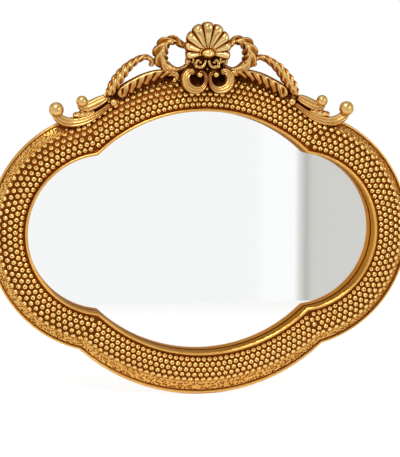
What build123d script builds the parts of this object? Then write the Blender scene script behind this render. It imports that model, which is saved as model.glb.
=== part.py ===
"""Wall mirror in a lobed oval frame: cast ring, shell and acanthus crest, glass,
back panel on turn buttons, and two D-ring hangers.

The mirror stands upright: X to the right, Z up, Y towards the wall. The origin is the
middle of the back face. Heights are measured forward from that face, so a height h lies
at y = -h. A place on the crest is given as (along, out): the distance along the outer
rim from the top centre, and the distance outwards from the sight edge.
"""
from math import asin, atan2, cos, degrees, hypot, pi, radians, sin, sqrt
import os

from build123d import *

# Sight opening: a wide arc above and below, a tight arc at each side
sight_half_width = 154.0
sight_half_height = 106.5
long_arc_radius = 133.5
side_arc_radius = 69.5

# Section of the frame, from the sight edge outwards, and up from the back face
band_width = 37.5
lip_width = 3.0
lip_height = 22.0
lip_roll = 1.4
groove_width = 1.0
dome_height = 20.4
dome_at = 11.0
cove_from = 26.5
cove_height = 13.0
cove_steps = 2
rim_width = 3.4
rim_height = 8.8
rim_edge = 0.9
rim_crevice = 1.4

# Rows of beads on the dome, each row one raised rib here
bead_rows = 5
bead_rise = 1.8
bead_row_pitch = 4.6
bead_row_crown = 2.0
first_bead_row = 6.2

# Stack behind the opening
rebate_width = 5.0
glass_seat = 8.0
glass_thickness = 3.0
silver_thickness = 0.15
panel_thickness = 3.0
glass_clearance = 0.6
packing_clearance = 1.0
panel_clearance = 0.5

# Tongue of the casting behind the shell
tongue_half_width = 12.5
tongue_foot = 31.5
tongue_top = 56.5
tongue_back = 2.5
tongue_front = 12.0

# Way along the rim from the top to the cusp, for which the crest was laid out
crest_layout_reach = 119.5

# Ornaments: flat backs on the rim, hollowed to fit the band, with a glue line between
glue_line = 0.2
leaf_swell = 0.42
leaf_edge = 1.5
leaf_notch = 0.2
sunk_back = 4.0

# Scallop shell, its tip leaning forward clear of the tongue, and its boss
shell_flutes = 9
shell_pitch = 24.0
shell_steps = 4
shell_root_out = 50.1
shell_root_radius = 4.2
shell_top_reach = 27.4
shell_side_reach = 18.8
shell_hub_height = 27.0
shell_crown_height = 32.0
shell_edge_height = 27.0
shell_edge_thickness = 7.0
shell_foot = 0.6
shell_groove = 2.4
shell_scallop = 0.085
boss_half_width = 6.6
boss_half_tall = 3.9
boss_height = 35.0

# Turn buttons
button_reach = 19.5
button_width = 10.0
button_tip_width = 8.0
button_thickness = 1.3
button_gap = 0.15
button_pivot_out = 16.5
button_spacing = 90.0

# Screws: pan heads over the buttons, flat heads sunk in the hanger straps
screw_radius = 1.5
screw_bite = 6.0
screw_clearance = 0.06
pan_radius = 3.0
pan_height = 1.8
pan_crown = 0.5
flat_radius = 2.5
flat_clearance = 0.05

# D-ring hangers
hanger_spacing = 200.0
hanger_eye_z = 96.0
strap_width = 9.0
strap_length = 14.0
strap_thickness = 1.2
strap_hole_drop = 5.4
wire_radius = 1.0
wire_clearance = 0.06
wire_bend = 2.5
wire_sides = 10
eye_wall = 0.9
ring_inside_width = 14.0
ring_lift = 0.3

# Rubber wall bumpers
bumper_radius = 6.0
bumper_thickness = 5.5
bumper_taper = 8.0
bumper_spacing = 150.0
bumper_out = 18.0

# Worked-out sizes
long_arc_drop = long_arc_radius - sight_half_height
side_arc_shift = sight_half_width - side_arc_radius
front_height = max(lip_height, dome_height + bead_rise)
ornament_back = rim_height + 1.5 * glue_line
shell_back = tongue_front + glue_line
silver_face = glass_seat - glass_thickness
packing_face = silver_face - silver_thickness
packing_thickness = packing_face - panel_thickness
button_back = button_gap + button_thickness
eye_depth = strap_thickness + ring_lift + wire_radius


def facing(height):
    """Plane seen from the front, local x right and y up, at a height above the back face."""
    return Plane.XZ.offset(height)


def behind(x, z, depth=0.0, heading=0.0):
    """Plane on the back, local z towards the wall, local x turned from right towards up."""
    x_dir = (cos(radians(heading)), 0, sin(radians(heading)))
    return Plane(origin=(x, depth, z), x_dir=x_dir, z_dir=(0, 1, 0))


def over(x, out):
    """Height z of the upper long arc above x, at a distance out from the sight edge."""
    return sqrt((long_arc_radius + out) ** 2 - x**2) - long_arc_drop


def cusp(out):
    """Corner in the upper right between the long and the side arc, at a distance out."""
    long_reach = long_arc_radius + out
    side_reach = side_arc_radius + out
    span = hypot(side_arc_shift, long_arc_drop)
    foot = (long_reach**2 - side_reach**2 + span**2) / (2 * span)
    rise = sqrt(long_reach**2 - foot**2)
    right, up = side_arc_shift / span, long_arc_drop / span
    return foot * right - rise * up, foot * up + rise * right - long_arc_drop


def on_long_arc(along, out):
    """Point (x, z) at a distance along the upper rim and out from the sight edge.

    The crest was laid out on a rim that runs crest_layout_reach from the top to its cusp,
    and it is stretched or drawn in with the rim, so that it still ends at the cusps.
    """
    cusp_x, cusp_z = cusp(band_width)
    turn = atan2(cusp_x, cusp_z + long_arc_drop) * along / crest_layout_reach
    reach = long_arc_radius + out
    return reach * sin(turn), reach * cos(turn) - long_arc_drop


def draw_lobed_oval(out):
    """Lobed oval at a distance out from the sight edge, drawn in the current sketch."""
    with Locations((0, -long_arc_drop)):
        Circle(long_arc_radius + out)
    with Locations((0, long_arc_drop)):
        Circle(long_arc_radius + out, mode=Mode.INTERSECT)
    with Locations((-side_arc_shift, 0), (side_arc_shift, 0)):
        Circle(side_arc_radius + out)


def dome(out):
    """Height of the beaded dome at a distance out from the sight edge."""
    fall = (dome_height - cove_height) / (cove_from - dome_at) ** 2
    return dome_height - fall * (out - dome_at) ** 2


def cove(out):
    """Height of the hollow between the dome and the rim."""
    crevice = rim_height - rim_crevice
    share = (band_width - rim_width - out) / (band_width - rim_width - cove_from)
    return crevice + (cove_height - crevice) * share**1.3


def bead_crowns(row):
    """Both edges of the top of a bead row as (out, height); row 0 is next to the lip."""
    middle = first_bead_row + row * bead_row_pitch
    edges = (middle - bead_row_crown / 2, middle + bead_row_crown / 2)
    return [(out, dome(out) + bead_rise) for out in edges]


def beaded_dome(dome_from):
    """Ribs of the bead rows with the ground between them, from the lip to the cove."""
    line = [(dome_from, dome(dome_from))]
    for row in range(bead_rows):
        valley = first_bead_row + (row + 0.5) * bead_row_pitch
        line += bead_crowns(row)
        if row < bead_rows - 1:
            line.append((valley, dome(valley)))
    return line


def covered_dome(dome_from):
    """Skin over the crowns of the bead rows, on which the ornaments lie."""
    line = [(dome_from, dome(dome_from) + bead_rise)]
    for row in range(bead_rows):
        line += bead_crowns(row)
    return line


def band_outline(dome_line):
    """Front of the frame's section as (out, height), from the sight edge to the rim."""
    lip = [
        (0, lip_height - lip_roll),
        (lip_width * 0.25, lip_height),
        (lip_width * 0.75, lip_height),
        (lip_width, lip_height - lip_roll),
    ]
    rim_from = band_width - rim_width
    cove_step = (rim_from - cove_from) / cove_steps
    hollow = [cove_from + step * cove_step for step in range(cove_steps + 1)]
    rim = [(rim_from, rim_height), (band_width - rim_edge, rim_height), (band_width, rim_height - rim_edge)]
    return (
        lip
        + [(lip_width, dome(lip_width + groove_width))]
        + dome_line(lip_width + groove_width)
        + [(out, cove(out)) for out in hollow]
        + rim
    )


def frame_arc(centre_x, centre_z, radius, outwards, wedge, lift, with_rebate, dome_line):
    """One arc of the frame, turned about its centre and trimmed to its two mitres."""
    middle = (centre_x, 0, centre_z)
    across = Vector(*outwards).cross(Vector(0, -1, 0))
    back = radius + (rebate_width if with_rebate else 0)
    seat_height = glass_seat if with_rebate else 0
    section = [(radius + out, height + lift) for out, height in band_outline(dome_line)]
    section[-2] = (section[-2][0] + lift, section[-2][1])
    section[-1] = (section[-1][0] + lift, section[-1][1])
    section += [(section[-1][0], 0), (back, 0)]
    if with_rebate:
        section += [(back, seat_height), (radius, seat_height)]
    with BuildPart() as arc:
        with BuildSketch(Plane(origin=middle, x_dir=outwards, z_dir=across)):
            Polygon(*section, align=None)
        revolve(axis=Axis(middle, (0, 1, 0)), revolution_arc=360)
        with BuildSketch(facing(0)):
            Polygon(*wedge, align=None)
        extrude(amount=front_height + lift, mode=Mode.INTERSECT)
    return arc.part


def frame_ring(lift=0.0, with_rebate=True, dome_line=beaded_dome):
    """The four arcs of the frame, which meet in mitres at the cusps."""
    inner_x, inner_z = cusp(0)
    outer_x, outer_z = cusp(band_width)
    near_x, near_z = 1.5 * inner_x - 0.5 * outer_x, 1.5 * inner_z - 0.5 * outer_z
    far_x, far_z = 2 * outer_x - inner_x, 2 * outer_z - inner_z
    side = 2 * (sight_half_width + band_width)
    upper_right = [(near_x, near_z), (far_x, far_z), (far_x, side)]
    upper = upper_right + [(-x, z) for x, z in reversed(upper_right)]
    right_upper = [(near_x, near_z), (far_x, far_z), (side, far_z)]
    right = right_upper + [(x, -z) for x, z in reversed(right_upper)]
    lower = [(x, -z) for x, z in upper]
    left = [(-x, z) for x, z in right]
    return [
        frame_arc(0, -long_arc_drop, long_arc_radius, (0, 0, 1), upper, lift, with_rebate, dome_line),
        frame_arc(0, long_arc_drop, long_arc_radius, (0, 0, -1), lower, lift, with_rebate, dome_line),
        frame_arc(side_arc_shift, 0, side_arc_radius, (1, 0, 0), right, lift, with_rebate, dome_line),
        frame_arc(-side_arc_shift, 0, side_arc_radius, (-1, 0, 0), left, lift, with_rebate, dome_line),
    ]


def draw_tongue(grow):
    """Round-topped tongue behind the shell, drawn in the current sketch."""
    foot_z = on_long_arc(0, tongue_foot)[1]
    top_z = on_long_arc(0, tongue_top)[1]
    with Locations((0, (foot_z + top_z) / 2)):
        Rectangle(2 * (tongue_half_width + grow), top_z - foot_z)
    with Locations((0, top_z)):
        Circle(tongue_half_width + grow)


# Places of the fastenings on the back
button_x = button_spacing / 2
button_z = over(button_x, button_pivot_out)
button_lean = degrees(asin(button_x / (long_arc_radius + button_pivot_out)))
button_side_x = sight_half_width + button_pivot_out
button_places = {
    "turn_button_top_right": (button_x, button_z, 90 - button_lean),
    "turn_button_top_left": (-button_x, button_z, 90 + button_lean),
    "turn_button_side_left": (-button_side_x, 0, 180),
    "turn_button_bottom_left": (-button_x, -button_z, 270 - button_lean),
    "turn_button_bottom_right": (button_x, -button_z, 270 + button_lean),
    "turn_button_side_right": (button_side_x, 0, 0),
}
hanger_x = hanger_spacing / 2
hanger_screw_z = hanger_eye_z - strap_hole_drop
screw_places = [(x, z) for x, z, heading in button_places.values()]
screw_places += [(hanger_x, hanger_screw_z), (-hanger_x, hanger_screw_z)]
bumper_x = bumper_spacing / 2
bumper_z = over(bumper_x, bumper_out)

# Frame casting: lobed ring with its rebate, the tongue behind the shell, pilot holes
with BuildPart() as frame_casting:
    add(frame_ring())
    with BuildSketch(facing(tongue_back)):
        draw_tongue(0)
    extrude(amount=tongue_front - tongue_back)
    for x, z in screw_places:
        with BuildSketch(behind(x, z)):
            Circle(screw_radius)
        extrude(amount=-screw_bite, mode=Mode.SUBTRACT)

# What the ornaments are hollowed to fit: the frame and its beads with the glue line over them
with BuildPart() as seat:
    add(frame_ring(lift=glue_line, with_rebate=False, dome_line=covered_dome))
    with BuildSketch(facing(tongue_back)):
        draw_tongue(glue_line)
    extrude(amount=shell_back - tongue_back)


def faceted(sections):
    """Closed solid of flat facets between sections that have the same number of points."""
    facets = [Face(Wire.make_polygon(sections[0])), Face(Wire.make_polygon(sections[-1]))]
    for near, far in zip(sections, sections[1:]):
        for corner in range(len(near)):
            facets.append(Face(Wire.make_polygon([near[corner - 1], near[corner], far[corner]])))
            facets.append(Face(Wire.make_polygon([near[corner - 1], far[corner], far[corner - 1]])))
    return Solid(Shell(facets))


def stacked(along, out, half_width, half_tall, levels, sides):
    """Oval facetted form on the crest, its levels given as (height, share of full size)."""
    x, z = on_long_arc(along, out)
    sections = []
    for height, share in levels:
        turns = [2 * pi * side / sides for side in range(sides)]
        sections.append(
            [
                Vector(x + half_width * share * sin(turn), -height, z + half_tall * share * cos(turn))
                for turn in turns
            ]
        )
    return faceted(sections)


def ball(along, out, radius, middle_height):
    """Rolled end of a scroll."""
    latitudes = [radians(degree) for degree in (-62, -28, 6, 40, 72)]
    levels = [(middle_height + radius * sin(latitude), cos(latitude)) for latitude in latitudes]
    return stacked(along, out, radius, radius, levels, 12)


# Scallop shell: ribs fanned about its root, with the grooves lower than the flutes
shell_root = on_long_arc(0, shell_root_out)
shell_spread = shell_pitch * (shell_flutes - 1) / 2


def shell_rib(turn, ridge):
    """Section of the shell in one direction; ridge is 1 on a flute and 0 in a groove."""
    swing = cos(radians(turn) * 90 / shell_spread)
    full_reach = shell_side_reach + (shell_top_reach - shell_side_reach) * swing**2
    reach = full_reach * (1 - shell_scallop * (1 - ridge))
    sink = shell_groove * (1 - ridge)
    shoulder = (shell_crown_height + shell_edge_height) / 2 + 1
    rib = [
        (shell_root_radius, shell_back),
        (shell_root_radius, shell_hub_height - sink / 2),
        (reach * 0.45, shell_crown_height - sink * 0.7),
        (reach * 0.72, shell_crown_height - 0.7 - sink),
        (reach * 0.92, shoulder - sink),
        (reach, shell_edge_height - sink),
        (reach * 0.97, shell_edge_height - shell_edge_thickness),
        (reach * shell_foot, shell_back),
    ]
    across, up = sin(radians(turn)), cos(radians(turn))
    return [
        Vector(shell_root[0] + radius * across, -height, shell_root[1] + radius * up)
        for radius, height in rib
    ]


shell_ribs = []
for step in range(shell_flutes * shell_steps + 1):
    turn = (step / shell_steps - shell_flutes / 2) * shell_pitch
    ridge = sin(pi * (step % shell_steps) / shell_steps)
    shell_ribs.append(shell_rib(turn, ridge))

with BuildPart() as crest_shell:
    add(faceted(shell_ribs))

# Oval boss, its stem through the root of the shell to the tongue
boss_foot = shell_hub_height + glue_line
boss_rise = boss_height - boss_foot
with BuildPart() as shell_boss:
    boss_levels = [(0.0, 0.86), (0.45, 1.0), (0.78, 0.78), (1.0, 0.36)]
    boss_steps = [(boss_foot + level * boss_rise, share) for level, share in boss_levels]
    add(stacked(0, shell_root_out, boss_half_width, boss_half_tall, boss_steps, 16))
    add(crest_shell.part, mode=Mode.SUBTRACT)
    stem_radius = shell_root_radius * 0.8
    add(stacked(0, shell_root_out, stem_radius, stem_radius, [(shell_back, 1), (boss_foot, 1)], 8))

# Sections of the ornaments: (across, rise) from edge to edge, both as shares
round_leaf = [(-1.0, 0.0), (-0.72, 0.7), (0.0, 1.0), (0.72, 0.7), (1.0, 0.0)]
ridged_leaf = [(-1.0, 0.0), (-0.8, 0.75), (-0.42, 0.5), (0.0, 1.0), (0.42, 0.5), (0.8, 0.75), (1.0, 0.0)]


def leaf_section(centre, heading, width, crest, leaf, notched, back):
    """Section of a leaf across its heading; an edge that is notched stands back."""
    across = Vector(0, -1, 0).cross(heading)
    edge = max(crest - leaf_swell * width, ornament_back + leaf_edge)
    section = [(-1.0, back)]
    section += [(share, edge + rise * (crest - edge)) for share, rise in leaf]
    section += [(1.0, back)]
    reach = [share * width / 2 * (1 - leaf_notch * (share * notched > 0)) for share, height in section]
    return [
        centre + across * offset + Vector(0, -height, 0)
        for offset, (share, height) in zip(reach, section)
    ]


def scroll(stations, leaf, lobed=0, back=ornament_back):
    """Ornament through its stations: (along, out, width, height of its crest).

    Lobes stand at the stations on the left (1) or the right (-1) of its way, or nowhere (0).
    A piece that lies wholly on the band has its back sunk in it before it is hollowed.
    """
    places = [on_long_arc(along, out) for along, out, width, crest in stations]
    with BuildLine(facing(0)) as centre_line:
        Spline(*places)
    way = centre_line.edge()
    turns = [way.param_at_point(Vector(x, 0, z)) for x, z in places]
    sections = []
    for number, (along, out, width, crest) in enumerate(stations):
        if lobed and number:
            between = (turns[number - 1] + turns[number]) / 2
            mean_width = (stations[number - 1][2] + width) / 2
            mean_crest = (stations[number - 1][3] + crest) / 2
            place = (way.position_at(between), way.tangent_at(between))
            sections.append(leaf_section(*place, mean_width, mean_crest, leaf, lobed, back))
        place = (way.position_at(turns[number]), way.tangent_at(turns[number]))
        sections.append(leaf_section(*place, width, crest, leaf, 0, back))
    return faceted(sections)


# Leafy C-scroll on the band under the shell, thin arm inside and broad leaf outside
with BuildPart() as c_scroll_right:
    add(
        scroll(
            [
                (7.3, 32.1, 2.6, 27.0),
                (5.6, 34.1, 2.2, 27.2),
                (2.9, 32.4, 2.4, 27.6),
                (1.9, 28.5, 2.4, 28.2),
                (3.1, 23.7, 3.0, 29.2),
                (7.2, 19.9, 4.7, 30.6),
                (13.4, 19.5, 6.0, 31.6),
                (18.8, 22.7, 6.6, 31.6),
                (20.6, 28.1, 6.6, 30.6),
                (18.9, 33.1, 6.2, 29.4),
                (15.3, 35.1, 5.6, 28.0),
                (12.5, 32.9, 3.9, 27.0),
            ],
            ridged_leaf,
            lobed=-1,
            back=sunk_back,
        )
    )
    add(seat.part, mode=Mode.SUBTRACT)

# Tendril that curls from under the boss
with BuildPart() as tendril_right:
    add(
        scroll(
            [
                (1.4, 45.1, 1.8, 23.0),
                (2.3, 41.1, 2.1, 23.6),
                (4.9, 38.4, 2.5, 24.2),
                (8.1, 38.9, 2.8, 24.2),
                (9.8, 42.1, 2.6, 23.6),
                (8.1, 44.7, 2.4, 23.0),
                (6.1, 43.1, 2.4, 22.6),
            ],
            round_leaf,
        )
    )
    add(c_scroll_right.part, mode=Mode.SUBTRACT)
    add(crest_shell.part, mode=Mode.SUBTRACT)
    add(seat.part, mode=Mode.SUBTRACT)

# Drop between the two tendrils
with BuildPart() as crest_drop:
    add(stacked(0, 37.1, 1.5, 3.0, [(shell_back, 0.7), (20.5, 1.0), (23.5, 0.4)], 10))

# Leafy loop beside the shell, with a stem that runs under it to a small curl
with BuildPart() as leaf_loop_right:
    add(
        scroll(
            [
                (19.0, 59.3, 5.6, 21.5),
                (22.3, 62.9, 7.2, 22.5),
                (26.5, 63.8, 8.4, 23.5),
                (31.7, 62.2, 10.6, 24.5),
                (35.4, 57.1, 12.6, 25.0),
                (36.9, 50.3, 12.6, 24.5),
                (35.0, 44.0, 10.0, 23.0),
                (29.8, 39.7, 6.2, 21.5),
                (25.1, 38.1, 4.0, 20.5),
                (19.6, 38.9, 3.2, 20.0),
                (15.0, 41.4, 3.0, 20.0),
            ],
            ridged_leaf,
            lobed=1,
        )
    )
    add(ball(14.5, 44.1, 2.4, 19.0))
    add(crest_shell.part, mode=Mode.SUBTRACT)
    add(c_scroll_right.part, mode=Mode.SUBTRACT)
    add(seat.part, mode=Mode.SUBTRACT)

# Leaf arch from the loop down to the upper volute
with BuildPart() as leaf_arch_right:
    add(
        scroll(
            [
                (45.0, 45.2, 4.4, 19.0),
                (42.5, 48.8, 3.6, 19.0),
                (45.1, 53.1, 4.4, 19.5),
                (52.9, 53.9, 5.8, 20.5),
                (60.4, 51.7, 7.2, 21.0),
                (67.6, 48.3, 8.8, 21.5),
                (74.5, 44.3, 9.6, 21.5),
                (81.3, 40.1, 8.8, 21.0),
                (87.7, 35.8, 5.5, 20.0),
            ],
            ridged_leaf,
            lobed=1,
        )
    )
    add(leaf_loop_right.part, mode=Mode.SUBTRACT)
    add(seat.part, mode=Mode.SUBTRACT)

# Swag leaf lying along the band between the C-scroll and the volutes
with BuildPart() as swag_leaf_right:
    add(
        scroll(
            [
                (26.9, 28.9, 3.8, 20.5),
                (24.2, 31.9, 3.2, 20.5),
                (26.1, 34.7, 3.8, 20.5),
                (31.7, 36.0, 4.8, 20.5),
                (38.7, 36.4, 6.1, 20.5),
                (46.6, 36.2, 7.2, 20.5),
                (55.0, 35.3, 8.1, 20.5),
                (63.5, 34.2, 8.3, 20.0),
                (72.0, 32.9, 8.5, 19.5),
                (80.3, 31.2, 6.4, 19.0),
            ],
            ridged_leaf,
            lobed=-1,
        )
    )
    add(c_scroll_right.part, mode=Mode.SUBTRACT)
    add(leaf_loop_right.part, mode=Mode.SUBTRACT)
    add(leaf_arch_right.part, mode=Mode.SUBTRACT)
    add(seat.part, mode=Mode.SUBTRACT)

# Bud where the swag leaf, the arch and the volutes meet
with BuildPart() as crest_bud_right:
    add(ball(86.9, 28.3, 3.3, 18.0))
    add(leaf_arch_right.part, mode=Mode.SUBTRACT)
    add(swag_leaf_right.part, mode=Mode.SUBTRACT)
    add(seat.part, mode=Mode.SUBTRACT)

# Upper volute: a broad leaf that curls up into a ball
with BuildPart() as upper_volute_right:
    add(
        scroll(
            [
                (89.8, 34.7, 5.4, 18.0),
                (97.5, 35.2, 7.8, 18.0),
                (105.4, 36.4, 8.0, 18.0),
                (111.3, 40.3, 7.0, 18.0),
            ],
            ridged_leaf,
        )
    )
    add(ball(109.5, 44.0, 5.0, 16.5))
    add(leaf_arch_right.part, mode=Mode.SUBTRACT)
    add(crest_bud_right.part, mode=Mode.SUBTRACT)
    add(seat.part, mode=Mode.SUBTRACT)

# Lower volute: a long leaf that follows the band and curls up into a larger ball
with BuildPart() as lower_volute_right:
    add(
        scroll(
            [
                (90.7, 28.3, 2.8, 19.0),
                (102.6, 27.1, 4.2, 19.0),
                (112.8, 28.1, 6.0, 18.5),
                (121.4, 31.1, 6.8, 18.0),
                (128.5, 36.3, 7.2, 17.5),
                (132.2, 42.8, 7.2, 17.5),
                (132.5, 48.6, 6.6, 17.0),
            ],
            ridged_leaf,
        )
    )
    add(ball(129.6, 53.0, 6.4, 16.5))
    add(
        scroll(
            [
                (106.0, 30.4, 3.6, 17.0),
                (111.4, 32.7, 6.4, 17.5),
                (117.1, 36.0, 6.4, 17.0),
                (122.5, 39.8, 3.0, 15.5),
            ],
            ridged_leaf,
            lobed=1,
        )
    )
    add(crest_bud_right.part, mode=Mode.SUBTRACT)
    add(upper_volute_right.part, mode=Mode.SUBTRACT)
    add(seat.part, mode=Mode.SUBTRACT)

# Mirror glass, its silvering, the packing sheet and the back panel
with BuildPart() as mirror_glass:
    with BuildSketch(facing(silver_face)):
        draw_lobed_oval(rebate_width - glass_clearance)
    extrude(amount=glass_thickness)

with BuildPart() as silvering:
    with BuildSketch(facing(packing_face)):
        draw_lobed_oval(rebate_width - glass_clearance)
    extrude(amount=silver_thickness)

with BuildPart() as packing_sheet:
    with BuildSketch(facing(panel_thickness)):
        draw_lobed_oval(rebate_width - packing_clearance)
    extrude(amount=packing_thickness)

with BuildPart() as back_panel:
    with BuildSketch(facing(0)):
        draw_lobed_oval(rebate_width - panel_clearance)
    extrude(amount=panel_thickness)


def turn_button(x, z, heading):
    """Turn button on its screw, its tip towards the middle of the mirror."""
    with BuildPart() as button:
        with BuildSketch(behind(x, z, button_gap, heading + 180)):
            Circle(button_width / 2)
            with Locations((button_reach - button_tip_width / 2, 0)):
                Circle(button_tip_width / 2)
            make_hull()
            Circle(screw_radius + screw_clearance, mode=Mode.SUBTRACT)
        extrude(amount=button_thickness)
    return button


turn_buttons = {name: turn_button(*place) for name, place in button_places.items()}


def screws(places, head):
    """Screws at several places, with the outline of their head as (radius, depth)."""
    with BuildPart() as group:
        for x, z in places:
            with BuildSketch(Plane(origin=(x, 0, z), x_dir=(1, 0, 0), z_dir=(0, 0, 1))):
                Polygon((0, -screw_bite), (screw_radius, -screw_bite), *head, align=None)
            revolve(axis=Axis((x, 0, z), (0, 1, 0)), revolution_arc=360)
    return group


pan_seat = button_back + button_gap
pan_back = pan_seat + pan_height
pan_head = [
    (screw_radius, pan_seat),
    (pan_radius, pan_seat),
    (pan_radius, pan_back - pan_crown),
    (pan_radius - pan_crown, pan_back),
    (0, pan_back),
]
flat_seat = strap_thickness - (flat_radius - screw_radius)
flat_head = [(screw_radius, flat_seat), (flat_radius, strap_thickness), (0, strap_thickness)]
button_screws = screws(screw_places[: len(button_places)], pan_head)
hanger_screws = screws(screw_places[len(button_places) :], flat_head)

# Hanger strap: a plate on the back, rolled at its top into an eye for the ring
with BuildPart() as hanger_strap_right:
    with BuildSketch(behind(hanger_x, hanger_eye_z)):
        with Locations((0, (strap_length - strap_width / 2) / 2)):
            Rectangle(strap_width, strap_length - strap_width / 2)
        with Locations((0, strap_length - strap_width / 2)):
            Circle(strap_width / 2)
    extrude(amount=strap_thickness)
    with Locations(behind(hanger_x, hanger_screw_z, strap_thickness)):
        CounterSinkHole(screw_radius + flat_clearance, flat_radius + flat_clearance, counter_sink_angle=90)
    eye_plane = Plane(origin=(hanger_x, eye_depth, hanger_eye_z), x_dir=(0, 1, 0), z_dir=(1, 0, 0))
    with BuildSketch(eye_plane):
        Circle(wire_radius + wire_clearance + eye_wall)
    extrude(amount=strap_width / 2, both=True)
    with BuildSketch(eye_plane):
        Circle(wire_radius + wire_clearance)
    extrude(amount=strap_width, both=True, mode=Mode.SUBTRACT)

# Hanger ring: a D of round wire, its straight side in the eye, hanging down at rest
ring_half = ring_inside_width / 2 + wire_radius
with BuildPart() as hanger_ring_right:
    with BuildLine(behind(hanger_x, hanger_eye_z, eye_depth)) as wire_path:
        Line((0, 0), (ring_half - wire_bend, 0))
        CenterArc((ring_half - wire_bend, wire_bend), wire_bend, -90, 90)
        CenterArc((0, wire_bend), ring_half, 0, 180)
        CenterArc((wire_bend - ring_half, wire_bend), wire_bend, 180, 90)
        Line((wire_bend - ring_half, 0), (0, 0))
    with BuildSketch(Plane(origin=(hanger_x, eye_depth, hanger_eye_z), x_dir=(0, 1, 0), z_dir=(1, 0, 0))):
        RegularPolygon(wire_radius, wire_sides)
    sweep(path=wire_path.wire())

# Rubber bumpers that keep the frame off the wall
with BuildPart() as wall_bumpers:
    with BuildSketch(behind(0, 0)):
        with GridLocations(2 * bumper_x, 2 * bumper_z, 2, 2):
            Circle(bumper_radius)
    extrude(amount=bumper_thickness, taper=bumper_taper)


def mirrored(right_piece):
    """Left-hand copy of a right-hand piece."""
    with BuildPart() as left_piece:
        mirror(right_piece.part, about=Plane.YZ)
    return left_piece


pieces = {
    "frame_casting": frame_casting,
    "crest_shell": crest_shell,
    "shell_boss": shell_boss,
    "crest_drop": crest_drop,
    "mirror_glass": mirror_glass,
    "silvering": silvering,
    "packing_sheet": packing_sheet,
    "back_panel": back_panel,
    "button_screws": button_screws,
    "hanger_screws": hanger_screws,
    "wall_bumpers": wall_bumpers,
}
pieces.update(turn_buttons)
handed_pieces = {
    "c_scroll": c_scroll_right,
    "tendril": tendril_right,
    "leaf_loop": leaf_loop_right,
    "leaf_arch": leaf_arch_right,
    "swag_leaf": swag_leaf_right,
    "crest_bud": crest_bud_right,
    "upper_volute": upper_volute_right,
    "lower_volute": lower_volute_right,
    "hanger_strap": hanger_strap_right,
    "hanger_ring": hanger_ring_right,
}
for name, right_piece in handed_pieces.items():
    pieces[f"{name}_right"] = right_piece
    pieces[f"{name}_left"] = mirrored(right_piece)

os.makedirs("parts", exist_ok=True)
for name, piece in pieces.items():
    piece.part.label = name
    export_step(piece.part, f"parts/{name}.step")
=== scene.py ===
"""Oval wall mirror in a lobed gilt frame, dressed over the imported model.

Lengths in the panels are metres. The lists of stations below are millimetres, as they are in
the part's own source: (along the upper rim, out from the sight edge, width, height of the crest).
"""

from math import atan2, cos, hypot, pi, radians, sin, sqrt

import bmesh
import bpy
import numpy as np
from bpy.props import FloatProperty, FloatVectorProperty, IntProperty, PointerProperty
from mathutils import Matrix, Vector


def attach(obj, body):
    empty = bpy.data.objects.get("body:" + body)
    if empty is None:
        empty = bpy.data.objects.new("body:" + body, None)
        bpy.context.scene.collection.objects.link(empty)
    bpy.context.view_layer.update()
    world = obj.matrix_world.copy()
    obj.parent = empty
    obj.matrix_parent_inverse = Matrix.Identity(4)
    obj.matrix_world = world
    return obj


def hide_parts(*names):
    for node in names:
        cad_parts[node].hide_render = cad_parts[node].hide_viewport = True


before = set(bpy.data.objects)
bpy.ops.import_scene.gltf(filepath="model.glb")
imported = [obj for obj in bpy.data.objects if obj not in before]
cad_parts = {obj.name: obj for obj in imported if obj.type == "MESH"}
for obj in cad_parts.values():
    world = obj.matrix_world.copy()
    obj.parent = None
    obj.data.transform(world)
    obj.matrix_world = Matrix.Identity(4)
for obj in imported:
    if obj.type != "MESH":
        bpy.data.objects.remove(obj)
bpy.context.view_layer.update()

bl_info = {
    "name": "Oval gilt mirror",
    "version": (1, 0, 0),
    "blender": (4, 5, 0),
    "location": "3D Viewport > Sidebar > Mirror",
    "description": "Builds a lobed oval wall mirror with a beaded band and a shell crest",
    "category": "Object",
}

MM = 0.001

C_SCROLL = [
    (7.3, 32.1, 2.6, 27.0), (5.6, 34.1, 2.2, 27.2), (2.9, 32.4, 2.4, 27.6), (1.9, 28.5, 2.4, 28.2),
    (3.1, 23.7, 3.0, 29.2), (7.2, 19.9, 4.7, 30.6), (13.4, 19.5, 6.0, 31.6), (18.8, 22.7, 6.6, 31.6),
    (20.6, 28.1, 6.6, 30.6), (18.9, 33.1, 6.2, 29.4), (15.3, 35.1, 5.6, 28.0), (12.5, 32.9, 3.9, 27.0),
]
TENDRIL = [
    (1.4, 45.1, 1.8, 23.0), (2.3, 41.1, 2.1, 23.6), (4.9, 38.4, 2.5, 24.2), (8.1, 38.9, 2.8, 24.2),
    (9.8, 42.1, 2.6, 23.6), (8.1, 44.7, 2.4, 23.0), (6.1, 43.1, 2.4, 22.6),
]
RING_CURL = [
    (15.3, 40.7, 1.7, 20.6), (17.0, 43.7, 1.8, 21.4), (15.5, 46.9, 1.9, 21.8), (12.1, 46.7, 1.9, 21.8),
    (11.2, 43.9, 1.8, 21.4), (13.1, 42.4, 1.5, 21.0),
]
LEAF_LOOP = [
    (14.4, 56.7, 4.6, 20.5),
    (19.0, 59.3, 5.6, 21.5), (22.3, 62.9, 7.2, 22.5), (26.5, 63.8, 8.4, 23.5), (31.7, 62.2, 10.6, 24.5),
    (35.4, 57.1, 12.6, 25.0), (36.9, 50.3, 12.6, 24.5), (35.0, 44.0, 10.0, 23.0), (29.8, 39.7, 6.2, 21.5),
    (25.1, 38.1, 4.0, 20.5), (19.6, 38.9, 3.2, 20.0), (15.0, 41.4, 3.0, 20.0),
]
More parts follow.
